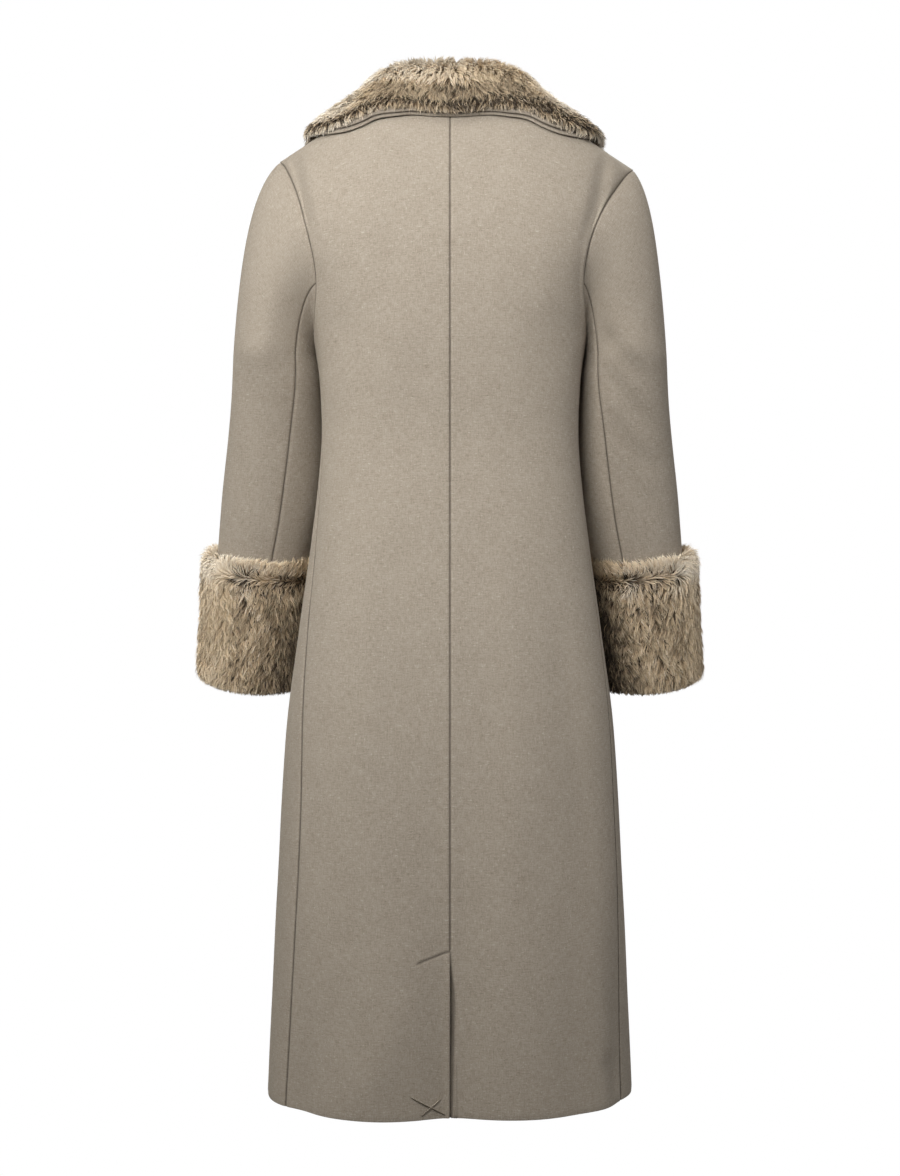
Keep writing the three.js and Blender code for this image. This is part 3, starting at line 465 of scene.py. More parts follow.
def wool_cloth():
    """Heathered wool blend, plain woven and lightly felted: matt, with a soft nap, and short pale
    and dark slubs that lie along the warp and the weft. Threads are about 0.8 mm apart; they are
    drawn 1.3 mm apart, because finer ones don't show. The 'seam' attribute paints shade in: darker
    along seams, in the vent's gap and at the collar layers' edges."""
    made = material("heathered_wool_blend")
    t = made.node_tree
    uv = node(t, "ShaderNodeUVMap", uv_map="UVMap")

    def streaks(mm_across, mm_along, detail=2.0):
        """Noise in streaks of this size across and along the cloth."""
        scaled = node(t, "ShaderNodeMapping", {
            "Vector": uv, "Scale": (1000 / mm_across, 1000 / mm_along, 1)})
        return node(t, "ShaderNodeTexNoise", {
            "Vector": scaled, "Scale": 1.0, "Detail": detail, "Roughness": 0.55})

    def beyond(pattern, start, end):
        """0 up to `start` and 1 past `end`, so only a pattern's peaks or hollows are left."""
        return node(t, "ShaderNodeMapRange", {
            "Value": pattern, "From Min": start, "From Max": end}, interpolation_type="SMOOTHSTEP")

    def shares(*parts):
        """The sum of patterns, each times its share."""
        total = 0.0
        for pattern, share in parts:
            total = node(t, "ShaderNodeMath", {0: pattern, 1: share, 2: total},
                         operation="MULTIPLY_ADD")
        return total

    warp, weft, felt = streaks(1.6, 8.0), streaks(8.0, 1.6), streaks(1.5, 1.5, 3.0)
    melange = shares((warp, 0.31), (weft, 0.31), (felt, 0.38))
    mottle = node(t, "ShaderNodeTexNoise", {
        "Vector": node(t, "ShaderNodeTexCoord").outputs["Object"], "Scale": 38.0, "Detail": 5.0,
        "Roughness": 0.7})
    colour = node(t, "ShaderNodeValToRGB", {"Fac": shares((melange, 0.86), (mottle, 0.14))}, [
        (0.34, "#7f766a"), (0.44, "#948a7e"), (0.52, "#9e9589"), (0.60, "#a79d92"),
        (0.70, "#b5ada3")])
    slub, other = streaks(6.5, 1.7, 1.0), streaks(1.8, 5.5, 1.0)
    pale_slub = shares((beyond(slub, 0.66, 0.72), 1), (beyond(other, 0.68, 0.74), 1))
    dark_slub = beyond(slub, 0.33, 0.27)
    # Painted shade: the 'seam' attribute darkens the cloth towards #3b332b along seams, in the vent's
    # gap and at the collar layers' edges.
    seam = node(t, "ShaderNodeAttribute", attribute_name="seam",
                attribute_type="GEOMETRY").outputs["Fac"]
    for pattern, share, code in ((pale_slub, 0.3, "#d3cbbf"), (dark_slub, 0.35, "#6f6557"),
                                 (seam, 1, "#3b332b")):
        colour = node(t, "ShaderNodeMix", {"Factor": shares((pattern, share)), 6: colour,
                                           7: linear(code)}, data_type="RGBA").outputs[2]
    across, along = (node(t, "ShaderNodeTexWave", {
        "Vector": uv, "Scale": 1000 / THREAD_SPACING / 20 * math.pi, "Distortion": 1.5,
        "Detail": 1.0, "Detail Scale": 1.0}, wave_type="BANDS", bands_direction=way).outputs["Fac"]
        for way in "XY")
    weave = node(t, "ShaderNodeMath", {0: across, 1: along}, operation="MULTIPLY")
    relief = shares((weave, 0.18), (melange, 1.2), (pale_slub, 1.1))
    bump = node(t, "ShaderNodeBump", {"Height": relief, "Strength": 0.5, "Distance": 0.0006})
    shader = node(t, "ShaderNodeBsdfPrincipled", {
        "Base Color": colour, "Roughness": 0.92, "Specular IOR Level": 0.22, "IOR": 1.5,
        "Sheen Weight": 0.18, "Sheen Roughness": 0.55, "Sheen Tint": linear("#d9cfc0"),
        "Normal": bump})
    node(t, "ShaderNodeOutputMaterial", {"Surface": shader})
    return made


def fur_pile():
    """Faux fur of modacrylic fibres: silky and soft, dark grey-brown at the roots, warm tan along
    the length and pale at the tips. Each strand carries its place from root to tip, its light, with
    which it goes from tan to pale above a half and to dark below, and its tone. Its light holds
    painted shade and painted highlights besides the fur's own pale and dark."""
    made = material("modacrylic_faux_fur_pile")
    t = made.node_tree
    strand = node(t, "ShaderNodeAttribute", attribute_name="strand",
                  attribute_type="GEOMETRY").outputs["Vector"]
    place, light, tone = node(t, "ShaderNodeSeparateXYZ", {"Vector": strand}).outputs
    tan, pale, dark = (node(t, "ShaderNodeValToRGB", {"Fac": place}, stops) for stops in (
        [(0.0, "#5b4f42"), (0.2, "#927e67"), (0.5, "#bfa788"), (0.8, "#d6c1a2"), (1.0, "#e8d8bd")],
        [(0.0, "#7d7368"), (0.2, "#bdb09e"), (0.5, "#e3d8c6"), (1.0, "#f7f1e6")],
        [(0.0, "#241e19"), (0.5, "#332b24"), (0.8, "#4f4438"), (1.0, "#7d705f")],
    ))
    colour = tan
    for shade, end in ((pale, 1.0), (dark, 0.0)):
        share = node(t, "ShaderNodeMapRange", {"Value": light, "From Min": 0.5, "From Max": end})
        colour = node(t, "ShaderNodeMix", {"Factor": share, 6: colour, 7: shade},
                      data_type="RGBA").outputs[2]
    value = node(t, "ShaderNodeMapRange", {"Value": tone, "To Min": 0.72, "To Max": 1.22})
    colour = node(t, "ShaderNodeHueSaturation", {"Color": colour, "Value": value})
    shader = node(t, "ShaderNodeBsdfPrincipled", {
        "Base Color": colour, "Roughness": 0.6, "Specular IOR Level": 0.3, "IOR": 1.5})
    node(t, "ShaderNodeOutputMaterial", {"Surface": shader})
    return made


def fur_under_pile():
    """The dense, short under-pile of the same fibres: matt, and clouded in grey-brown."""
    made = material("faux_fur_under_pile")
    t = made.node_tree
    patch = node(t, "ShaderNodeTexNoise", {
        "Vector": node(t, "ShaderNodeTexCoord").outputs["Object"], "Scale": 220.0, "Detail": 3.0,
        "Roughness": 0.6})
    colour = node(t, "ShaderNodeValToRGB", {"Fac": patch}, [
        (0.35, "#4d4236"), (0.5, "#6f604e"), (0.65, "#8f7d67")])
    shader = node(t, "ShaderNodeBsdfPrincipled", {
        "Base Color": colour, "Roughness": 0.9, "Specular IOR Level": 0.3, "IOR": 1.5})
    node(t, "ShaderNodeOutputMaterial", {"Surface": shader})
    return made


def horn_button():
    """Polished polyester in the manner of horn: brown, clouded and half glossy."""
    made = material("horn_like_polyester")
    t = made.node_tree
    cloud = node(t, "ShaderNodeTexNoise", {
        "Vector": node(t, "ShaderNodeTexCoord").outputs["Object"], "Scale": 90.0, "Detail": 4.0,
        "Distortion": 1.5})
    colour = node(t, "ShaderNodeValToRGB", {"Fac": cloud}, [
        (0.3, "#3c2f25"), (0.5, "#5d4a3a"), (0.7, "#85705a")])
    shader = node(t, "ShaderNodeBsdfPrincipled", {
        "Base Color": colour, "Roughness": 0.32, "Specular IOR Level": 0.5})
    node(t, "ShaderNodeOutputMaterial", {"Surface": shader})
    return made


def sewing_thread():
    """Spun polyester thread, matt and near the cloth's colour; its twist shows as a fine band, and
    a painted shadow from the 'seam' attribute darkens a thread that lies in another's shadow."""
    made = material("sewing_thread")
    t = made.node_tree
    twist = node(t, "ShaderNodeTexNoise", {
        "Vector": node(t, "ShaderNodeTexCoord").outputs["Object"], "Scale": 900.0, "Detail": 1.0})
    plain = node(t, "ShaderNodeValToRGB", {"Fac": twist}, [(0.35, "#948a7c"), (0.65, "#b3a99b")])
    # Painted shadow: the 'seam' attribute darkens a thread towards #6b6154.
    shadow = node(t, "ShaderNodeAttribute", attribute_name="seam",
                  attribute_type="GEOMETRY").outputs["Fac"]
    colour = node(t, "ShaderNodeMix", {"Factor": shadow, 6: plain, 7: linear("#6b6154")},
                  data_type="RGBA").outputs[2]
    shader = node(t, "ShaderNodeBsdfPrincipled", {"Base Color": colour, "Roughness": 0.8})
    node(t, "ShaderNodeOutputMaterial", {"Surface": shader})
    return made


WOOL = wool_cloth()
FUR = fur_pile()
FUR_SKIN = fur_under_pile()
HORN = horn_button()
THREAD = sewing_thread()


# ------------------------------------------------------------------ creases and seams
# Creases: ends in x and z as seen from behind or before, width, outward depth.
BACK_CREASES = (
    (150, -105, 120, -300, 26, -2.2), (-160, -120, -118, -330, 28, -2.4),
    (60, -620, 30, -1000, 30, -2.5), (95, -560, 120, -960, 34, 3.2),
    (-60, -560, -75, -900, 26, 3.2), (-130, -600, -150, -930, 22, -3.4),
    (-40, -700, -30, -1120, 30, -1.6), (-178, -1130, -196, -1172, 8, -2.6),
    (60, -1060, 100, -1170, 22, 2.2), (20, -330, 60, -470, 34, -1.2),
    (-30, -380, -90, -500, 30, -1.2),
)
FRONT_CREASES = (
    (120, -330, 90, -520, 26, -2.2), (-118, -320, -84, -500, 26, -2.2),
    (70, -640, 96, -1120, 30, 2.4), (-66, -620, -92, -1080, 30, 2.2),
    (140, -700, 160, -1100, 24, -2.6), (-138, -720, -162, -1120, 24, -2.4),
    (100, -150, 130, -260, 20, -1.8), (-104, -150, -132, -260, 20, -1.8),
)
SLEEVE_CREASES = {
    LEFT: ((228, -270, 190, -350, 12, -1.6), (250, -330, 205, -430, 13, -1.5),
           (246, -430, 215, -520, 14, -1.2), (200, -220, 222, -330, 14, 1.6)),
    RIGHT: ((-176, -285, -232, -345, 11, -3.6), (-178, -330, -236, -398, 12, -3.4),
            (-188, -385, -240, -450, 13, -3.0), (-250, -300, -214, -240, 16, -2.2),
            (-205, -440, -245, -505, 14, -2.4)),
}


def creased(p, normals, creases, facing):
    """Pushes points along their normals by depth * bell of the distance from each crease's line,
    fading past its ends. `facing` is +1 for creases seen from behind and -1 from before."""
    seen = smooth(0.05, 0.45, facing * normals[..., 1])
    push = np.zeros(p.shape[:2])
    for x0, z0, x1, z1, width, depth in creases:
        way = np.array([x1 - x0, z1 - z0], float)
        long = float(np.hypot(*way))
        dx, dz = p[..., 0] - x0, p[..., 2] - z0
        t = (dx * way[0] + dz * way[1]) / long**2
        off = (dx * way[1] - dz * way[0]) / long
        off = off + 0.25 * width * np.sin(3.1 * t + x0)
        ends = smooth(-0.25, 0.25, t) * smooth(-1.25, -0.7, -t)
        push += depth * ends * bell(off, width)
    return p + normals * (push * seen)[..., None]


def wavering(p, normals, amount):
    """The cloth's slight unevenness: a sum of long sine waves across and up, in millimetres."""
    x, y, z = p[..., 0], p[..., 1], p[..., 2]
    wave = (
        np.sin(x / 31 + z / 57) + np.sin(x / 23 - z / 83 + 1.3) + np.sin(y / 27 + z / 41 + 2.1)
        + 0.6 * np.sin(x / 13 + z / 29 + 0.7) + 0.5 * np.sin(y / 11 - z / 23)
    )
    return p + normals * (amount * wave / 4)[..., None]


def seam_dip(distance, along, depth=1.1, width=1.9, pucker=0.25):
    """A sewn seam: the cloth dips to it and puckers a little beside it."""
    ripple = pucker * np.sin(along / 3.7) * np.sin(along / 17 + 1) * bell(distance, 9)
    return depth * bell(distance, width) + ripple * smooth(0.5, 4, distance)


def near_edge(*distances):
    """Shares of a panel's width for columns at these millimetres from an edge 185 mm away."""
    return [d / 185 for d in distances]


# ------------------------------------------------------------------ body panels
def spread(neck, shoulder):
    """Shares of a panel's width: close together at both edges, `neck` and `shoulder` of them in
    the stretches under its neck edge and under its shoulder."""
    return np.concatenate([
        near_edge(0, 1, 2.2, 3.6, 5.5, 8), np.linspace(11 / 185, NECK_SHARE, neck),
        np.linspace(NECK_SHARE, 1 - 11 / 185, shoulder)[1:],
        1 - np.array(near_edge(8, 5.5, 3.6, 2.2, 1, 0)),
    ])


def rows_of(low, vent, skirt, yoke, top):
    """Heights of a panel's rows, -1 at the hem to 1 at the top, with so many in each stretch."""
    hem = np.array([0, 0.8, 1.8, 3.2, 5.5]) / 894 - 1
    slit = (UNDERARM - np.linspace(-1026, -992, vent)) / -894
    return np.concatenate([
        hem, np.linspace(hem[-1], slit[0], low)[1:-1], slit, np.linspace(slit[-1], 0, skirt)[1:],
        np.linspace(0, 0.9, yoke)[1:], np.linspace(0.9, 0.992, top)[1:], [0.996, 1],
    ])


BACK_COLUMNS, BACK_ROWS = spread(28, 40), rows_of(22, 26, 96, 42, 13)
FRONT_COLUMNS, FRONT_ROWS = spread(18, 26), rows_of(14, 4, 66, 32, 10)


def from_top(grid):
    """Distance up each column from a point to the grid's last row."""
    return lengths(grid[::-1], 0)[::-1]


def cloth_panel(name, grid, side, to_out, seams, creases, facing, painted_shade=0.0):
    """One cloth panel, creased and dipped at its seams, and an inner side one wall in. `seams` are
    the distances from its sewn edges; beside one, the cloth moves the way that the panel next to
    it does, (1 - s) * -normal + s * inward with s = bell(distance, 2.2), so the edges meet."""
    normals = grid_normals(grid, to_out)
    nearest = np.minimum.reduce(np.broadcast_arrays(*seams))
    calm = (normals * smooth(0, 16, nearest)[..., None])
    shaped = wavering(grid, calm, 0.9)
    shaped = mirrored(creased(mirrored(shaped, side), mirrored(calm, side), creases, facing), side)
    share = bell(nearest, 2.2)[..., None]
    way = unit(mix(-normals, inward(grid), share))
    shaped = shaped + way * seam_dip(nearest, lengths(grid, 0))[..., None]
    hem = smooth(-5.0, 0.0, -(lengths(grid, 0)))
    way = unit(mix(-grid_normals(shaped, to_out), inward(grid), share))
    outer = shaped + way * (0.55 * hem)[..., None]
    inner = shaped + way * (CLOTH - 0.55 * hem)[..., None]
    # Painted shade: darker along the sewn edges, and wherever the caller asks for more painted shade.
    return cloth_wall(name, mirrored(outer, side), mirrored(inner, side), cloth_uv(grid),
                      np.maximum(painted_shade, SEAM_SHADE * bell(nearest, SEAM_REACH)))


def back_panel(side):
    """The back; below the vent's top the left one's centre edge is pressed to a fold, and the
    right one's swings aside and sinks. Painted shade darkens the left one's slanted stitch line at
    the vent's top and the right one's centre edge in the vent's gap."""
    grid = back_point(side, BACK_COLUMNS[None, :], BACK_ROWS[:, None])
    z = grid[..., 2]
    from_centre = lengths(grid, 1)
    to_side = from_centre[:, [-1]] - from_centre
    open_vent = smooth(-VENT_TOP - 2, -VENT_TOP + 5, -z)
    normals = grid_normals(grid, -1)
    line = 0.0
    if side == LEFT:
        slant = z - (VENT_TOP - VENT_SLANT * from_centre / VENT_LAP)
        # The slanted stitch line at the vent's top: a groove, which also gets painted shade.
        line = bell(slant, 1.2) * smooth(-VENT_LAP - 1, -VENT_LAP + 1.5, -from_centre)
        pressed = open_vent * (1.5 * bell(from_centre - 2.6, 2.8) + 0.4 * bell(from_centre - 38, 6))
        grid = grid + normals * (pressed - 1.2 * line)[..., None]
    else:
        parting = (3.0 * smooth(-VENT_TOP, -VENT_TOP + 50, -z) * smooth(HEM - 60, HEM + 60, z)
                   + 1.2 * bell(z + 1062, 26))
        sunk = open_vent * vent_sink(z) * bell(from_centre, 2.5)
        grid = grid - normals * sunk[..., None]
        grid[..., 0] += parting * smooth(-14, 0, -from_centre)
        # Painted shade along the right back's centre edge, in the vent's gap.
        line = open_vent * bell(from_centre, 1.3)
    seams = [from_centre + 60 * open_vent, to_side, from_top(grid)]
    return cloth_panel(f"back_{'left' if side == LEFT else 'right'}_cloth", grid, side, -1, seams,
                       BACK_CREASES, 1, 0.7 * line)


def front_panel(side):
    """One front, plain, from its front edge to the side seam and armhole."""
    grid = front_point(side, FRONT_COLUMNS[None, :], FRONT_ROWS[:, None])
    from_edge = lengths(grid, 1)
    seams = [from_edge[:, [-1]] - from_edge, from_top(grid)]
    return cloth_panel(f"front_{'left' if side == LEFT else 'right'}_cloth", grid, side, 1, seams,
                       FRONT_CREASES, -1)


def vent_sink(z):
    """How far the vent's underlap falls in under the left back, in its middle."""
    return 3.5 * bell(z + 1075, 45)


def on_skirt_back(x, z):
    """Points of the skirt's back, on the left, at sideways places and heights."""
    x, z = np.broadcast_arrays(np.asarray(x, float), np.asarray(z, float))
    angle = np.degrees(np.arctan(np.abs(x) / read(BODY_RINGS, z)[1]))
    return point(x, ring_point(LEFT, z, angle)[..., 1], z)


def vent_underlap():
    """The right back's extension under the left back: its ring points, moved in by the wall."""
    x = np.concatenate([np.linspace(-8, -1.5, 5), np.linspace(0, VENT_LAP, 16)])[None, :]
    t = np.linspace(0, 1, 40)[:, None]
    z = mix(HEM, VENT_TOP - VENT_SLANT * np.clip(x / VENT_LAP, 0, 1), t)
    under = (CLOTH + 0.6) * smooth(-5, -1.5, x) + vent_sink(z) * mix(0.75, 1.1, smooth(-8, 8, x))
    outer = on_skirt_back(x, z)
    outer[..., 1] = outer[..., 1] - under - 0.9
    inner = outer - np.array([0, CLOTH - 0.2, 0])
    # Painted shade at half strength on the underlap, from just inside the right back's edge on, where
    # it lies in the vent's gap and under the left back.
    painted_shade = 0.5 * smooth(-6, -3, x) + 0 * z
    return cloth_wall("vent_underlap_cloth", outer, inner, cloth_uv(outer), painted_shade)


# ------------------------------------------------------------------ sleeves
def armhole_step(side, k):
    """The armhole by steps: 0 underarm, 10 shoulder tip by way of the back, 20 underarm again."""
    turn = np.mod(k, ROUND)
    behind = armhole_point(side, ARMHOLE_BACK, np.clip(turn / 10, 0, 1))
    before = armhole_point(side, ARMHOLE_FRONT, np.clip((ROUND - turn) / 10, 0, 1))
    return np.where((turn <= 10)[..., None], behind, before)


def tube_point(z, angle, swell=0.0):
    """The sleeve's tube: an ellipse about its axis, tipped at the wrist with the arm, and filling
    a little more under the arm, by a step of the height times a bell of the angle."""
    x, y, across, deep = read(SLEEVE_RINGS, z)
    from_inside = (angle + 360) % 360 - 180
    swell = swell + UNDERARM_SWELL * smooth(-360, -325, z) * bell(from_inside, 45)
    off_x = (across + swell) * np.cos(np.radians(angle))
    off_y = (deep + swell) * np.sin(np.radians(angle))
    share = smooth(-SLEEVE_TOP_RING, 560, -z)
    return point(x + off_x, y + off_y, z + share * (0.09 * off_x - 0.19 * off_y))


def step_angle(side, z, k):
    """The angle round the tube at which armhole step k runs down."""
    left_back, right_back, inner, front = read(SLEEVE_SEAMS, z)
    back = left_back if side == LEFT else right_back
    last = ROUND - SEAM_STEP
    upper = mix(back, front - 360, (k - SEAM_STEP) / (last - SEAM_STEP))
    under = np.where(k < ROUND, mix(front, inner, (k - last) / SEAM_STEP),
                     mix(inner, back, (k - ROUND) / SEAM_STEP))
    return np.where((k >= SEAM_STEP) & (k <= last), upper, under)


def cap_point(side, k, t):
    """The sleeve cap: from the armhole to the tube along a parabola bowed up and out."""
    start = armhole_step(side, k)
    angle = step_angle(side, SLEEVE_TOP_RING, k)
    end = tube_point(SLEEVE_TOP_RING, angle)
    rise = np.maximum(6, 0.85 * (start[..., 2] - end[..., 2]))
    bend = end + np.stack([-0.1 * rise, 0.12 * rise, rise], axis=-1)
    bend[..., 0] += CAP_FULLNESS * np.maximum(0, np.cos(np.radians(angle)))
    t = t[..., None]
    return start * (1 - t) ** 2 + bend * 2 * t * (1 - t) + end * t * t


def sleeve_piece(name, side, first, last):
    """One of the sleeve's two pieces, between two armhole steps. Beside a seam the cloth moves the
    way that its neighbour does: inward at the armhole, and towards the sleeve's axis further down."""
    count, span = (48, 300) if last - first > 10 else (18, 90)
    edge = np.array([0, 1, 2.2, 3.8, 6.5]) / span
    shares = np.concatenate([edge, np.linspace(10 / span, 1 - 10 / span, count), 1 - edge[::-1]])
    k = mix(first, last, shares)[None, :]
    cap_t = np.concatenate([[0, 0.006, 0.014, 0.025, 0.045], np.linspace(0.07, 1, 22)])[:, None]
    cap = cap_point(side, *np.broadcast_arrays(k, cap_t))
    z = np.linspace(SLEEVE_TOP_RING, SLEEVE_END, 58)[1:, None]
    tube = tube_point(z, step_angle(side, *np.broadcast_arrays(z, k)))
    grid = np.concatenate([cap, tube])
    from_first = lengths(grid, 1)
    seams = [from_first, from_first[:, [-1]] - from_first, lengths(grid, 0)]
    nearest = np.minimum.reduce(seams)
    normals = grid_normals(grid, 1)
    calm = normals * smooth(0, 16, nearest)[..., None]
    shaped = wavering(grid, calm, 1.2)
    shaped = mirrored(creased(mirrored(shaped, side), mirrored(calm, side),
                              SLEEVE_CREASES[side], 1), side)
    x, y, across, deep = read(SLEEVE_RINGS, np.minimum(grid[..., 2], SLEEVE_TOP_RING))
    axis_way = unit(point((x - grid[..., 0]) / across**2, (y - grid[..., 1]) / deep**2, 0 * x))
    down = np.concatenate([smooth(0, 1, np.linspace(0, 1, len(cap_t))), np.ones(len(z))])
    seam_way = unit(mix(inward(grid), axis_way, down[:, None, None]))
    share = bell(nearest, 2.2)[..., None]
    dip = seam_dip(nearest, lengths(grid, 0))
    shaped = shaped + unit(mix(-normals, seam_way, share)) * dip[..., None]
    way = unit(mix(-grid_normals(shaped, 1), seam_way, share))
    # Painted shade: darker along the sleeve's seams and its armhole.
    return cloth_wall(name, mirrored(shaped, side), mirrored(shaped + way * CLOTH, side),
                      cloth_uv(grid), SEAM_SHADE * bell(nearest, SEAM_REACH))


# ------------------------------------------------------------------ collar
def under_collar(side, along, out):
    """The coat's surface under the collar: `out` is 0 at the neck edge and 1 at the cloth edge."""
    across, up = read(COLLAR_EDGE_BACK, np.minimum(along, 1))
    behind = back_point(side, mix(NECK_SHARE * np.minimum(along, 1), across, out), mix(1, up, out))
    across, up = read(COLLAR_EDGE_FRONT, np.maximum(along, 1))
    neck_up = mix(1, COLLAR_FRONT_END, np.maximum(along, 1) - 1)
    before = front_point(side, mix(0, across, out), mix(neck_up, up, out))
    return np.where((along <= 1)[..., None], behind, before)


def collar_side(side, along, section):
    """A collar point before layering: up the stand, round the fold, then down the fall."""
    along, section = np.broadcast_arrays(along, section)
    stand, lean = read(COLLAR_SHAPE, along)[:2]
    neck, edge = under_collar(side, along, 0 * section), under_collar(side, along, 0 * section + 1)
    outward = edge - neck
    outward[..., 2] = 0
    outward = unit(outward)
    turn = smooth(1.1, 1.7, along)
    rise = outward * lean[..., None]
    rise[..., 1] -= stand * 0.9 * turn
    rise[..., 2] += stand
    rise[..., 2] *= 1 - 0.85 * turn
    out = np.clip((section - STAND_SHARE) / (1 - STAND_SHARE), 0, 1)
    fall = under_collar(side, along, out) + rise * ((1 - out) ** 1.25)[..., None]
    fall += outward * (FOLD_WIDTH * smooth(0, 0.15, out) * (1 - out) ** 0.5)[..., None]
    up = neck + rise * mix(0.03, 1, section / STAND_SHARE)[..., None]
    return np.where((section < STAND_SHARE)[..., None], up, fall)


STATIONS = np.linspace(-2, 2, 145)
SECTIONS = np.concatenate([np.linspace(0, 0.25, 6), np.linspace(0.27, 0.38, 8),
                           np.linspace(0.42, 0.93, 15), [0.945, 0.955, 0.965, 0.975, 0.987, 1]])
FOLD = 0.38  # the section's place where the collar's roll ends
CURL = 8  # steps of the fur's curl past its backing


def collar_grid(section):
    """The collar's middle grid from one front end round the neck to the other, and its normals."""
    along = np.abs(STATIONS)[:, None]
    left, right = collar_side(LEFT, along, section), collar_side(RIGHT, along, section)
    grid = np.where((STATIONS < 0)[:, None, None], mirrored(right, RIGHT), left)
    return grid, grid_normals(grid, -1)


COLLAR = collar_grid(SECTIONS[None, :])[0]


def collar_lift(section):
    """How far the under collar stands off the coat: more over the fall, where it rolls back."""
    return 0.6 + 2 * smooth(STAND_SHARE, 1, section)


def collar_layer(name, layer):
    """One cloth layer of the collar, counted from the coat. Its outer edge is pressed thin, and
    the upper layer's ends 3 mm short of the under one's. Painted shade darkens the under one's cloth
    beside the upper one's edge, and the upper one's own edge."""
    section = SECTIONS - 0.03 * layer * smooth(FOLD, 1, SECTIONS)
    grid, normals = collar_grid(section[None, :])
    base = collar_lift(SECTIONS)[None, :, None] + layer * COLLAR_LAYER
    edge = smooth(0.965, 1, SECTIONS)[None, :, None]
    outer = grid + normals * (base + CLOTH - 0.8 * edge)
    inner = grid + normals * (base + 0.5 * edge)
    # Painted shade: a dark line beside the upper layer's edge, and along the upper layer's own edge.
    painted_shade = 0.8 * bell(SECTIONS - mix(0.966, 1.0, layer), 0.011)[None, :]
    return cloth_wall(name, outer, inner, cloth_uv(grid), painted_shade)


# ------------------------------------------------------------------ fur
def sampled(grid, u, v):
    """Values of a grid at fractional rows u and columns v, by the four points around."""
    rows, columns = grid.shape[:2]
    i, j = np.clip(u.astype(int), 0, rows - 2), np.clip(v.astype(int), 0, columns - 2)
    a, b = (u - i)[:, None], (v - j)[:, None]
    return (grid[i, j] * (1 - a) * (1 - b) + grid[i + 1, j] * a * (1 - b)
            + grid[i, j + 1] * (1 - a) * b + grid[i + 1, j + 1] * a * b)


def scattered(grid, count, chance, rng):
    """Fractional rows and columns of `count` points, as many for each face as its area, times
    `chance`, asks for."""
    along = np.linalg.norm(np.diff(grid, axis=0), axis=-1)[:, :-1]
    over = np.linalg.norm(np.diff(grid, axis=1), axis=-1)[:-1]
    share = (along * over * chance[:-1, :-1]).ravel()
    face = rng.choice(len(share), count, p=share / share.sum())
    columns = grid.shape[1] - 1
    return face // columns + rng.random(count), face % columns + rng.random(count)


def locks(place, cell, seed):
    """For points of a plane in millimetres: the way to the nearest of a set of scattered centres,
    one to a cell of the size `cell`, and two random numbers that belong to that centre."""
    cell = np.array(cell, float)
    place = place / cell
    base = np.floor(place).astype(np.int64)
    best = np.full(len(place), np.inf)
    way, own = np.zeros_like(place), np.zeros_like(place)

    def hashed(a, b, salt):
        h = np.sin(a * 127.1 + b * 311.7 + salt * 74.7 + seed) * 43758.5453
        return h - np.floor(h)

    for da in (-1, 0, 1):
        for db in (-1, 0, 1):
            a, b = base[:, 0] + da, base[:, 1] + db
            offset = np.stack([a + hashed(a, b, 1), b + hashed(a, b, 2)], axis=-1) - place
            far = np.linalg.norm(offset, axis=-1)
            nearer = far < best
            best[nearer], way[nearer] = far[nearer], offset[nearer]
            own[nearer] = np.stack([hashed(a, b, 3), hashed(a, b, 4)], axis=-1)[nearer]
    return way * cell, own


def strands(name, roots, normal, comb, lift, length, width, pull, bend, shade, seed):
    """Fur: each strand is a flat blade that rises from its root at `lift` from the skin, bends over
    along `comb` and narrows to a point. Its middle is at root + length * (0.55 d0) and its tip
    at root + length * (0.55 d0 + 0.45 d1), d0 and d1 being its ways before and after the bend;
    `bend` turns it one way and then the other, and `pull` moves it towards the middle of its lock.
    `shade` is the strand's light and tone, and its place in the colours from root to tip at which
    it starts."""
    rng = np.random.default_rng(seed)
    n = len(roots)
    side = unit(np.cross(normal, comb))
    jitter = rng.normal(0, 1, (n, 3))
    lift = np.clip(lift + 0.13 * jitter[:, 1], 0.05, 1.4)[:, None]
    before = unit(comb + side * (0.14 * jitter[:, 0] - bend)[:, None])
    after = unit(comb + side * (0.16 * jitter[:, 2] + bend)[:, None])
    d0 = unit(before * np.cos(lift) + normal * np.sin(lift))
    d1 = unit(after * np.cos(lift * 0.35) + normal * np.sin(lift * 0.35) + np.array([0, 0, -0.12]))
    length = length[:, None]
    middle = roots + d0 * length * 0.55 + pull * 0.4
    tip = middle + d1 * length * 0.45 + pull * 0.5
    twist = rng.normal(0, 0.6, n)[:, None]
    flat = unit(np.cross(d0, normal) + 1e-6)
    across = flat * np.cos(twist) + np.cross(d0, flat) * np.sin(twist)
    half = width[:, None] / 2
    points = np.stack([roots - across * half, roots + across * half,
                       middle + across * half * 0.85, middle - across * half * 0.85, tip], axis=1)
    first = np.arange(n)[:, None] * 5
    quads, tips = first + np.array([[0, 1, 2, 3]]), first + np.array([[3, 2, 4]])
    faces_out = np.einsum("ij,ij->i", np.cross(points[:, 1] - points[:, 0],
                                               points[:, 3] - points[:, 0]), normal) > 0
    quads[~faces_out] = quads[~faces_out][:, ::-1]
    tips[~faces_out] = tips[~faces_out][:, ::-1]
    along = mix(shade[:, [2]], 1, np.array([[0.0, 0.0, 0.55, 0.55, 1.0]]))
    data = np.stack([along, np.repeat(shade[:, [0]], 5, 1), np.repeat(shade[:, [1]], 5, 1)], axis=-1)
    return mesh_object(name, points.reshape(-1, 3), [quads, tips], FUR,
                       attributes=[("strand", data.reshape(-1, 3))])


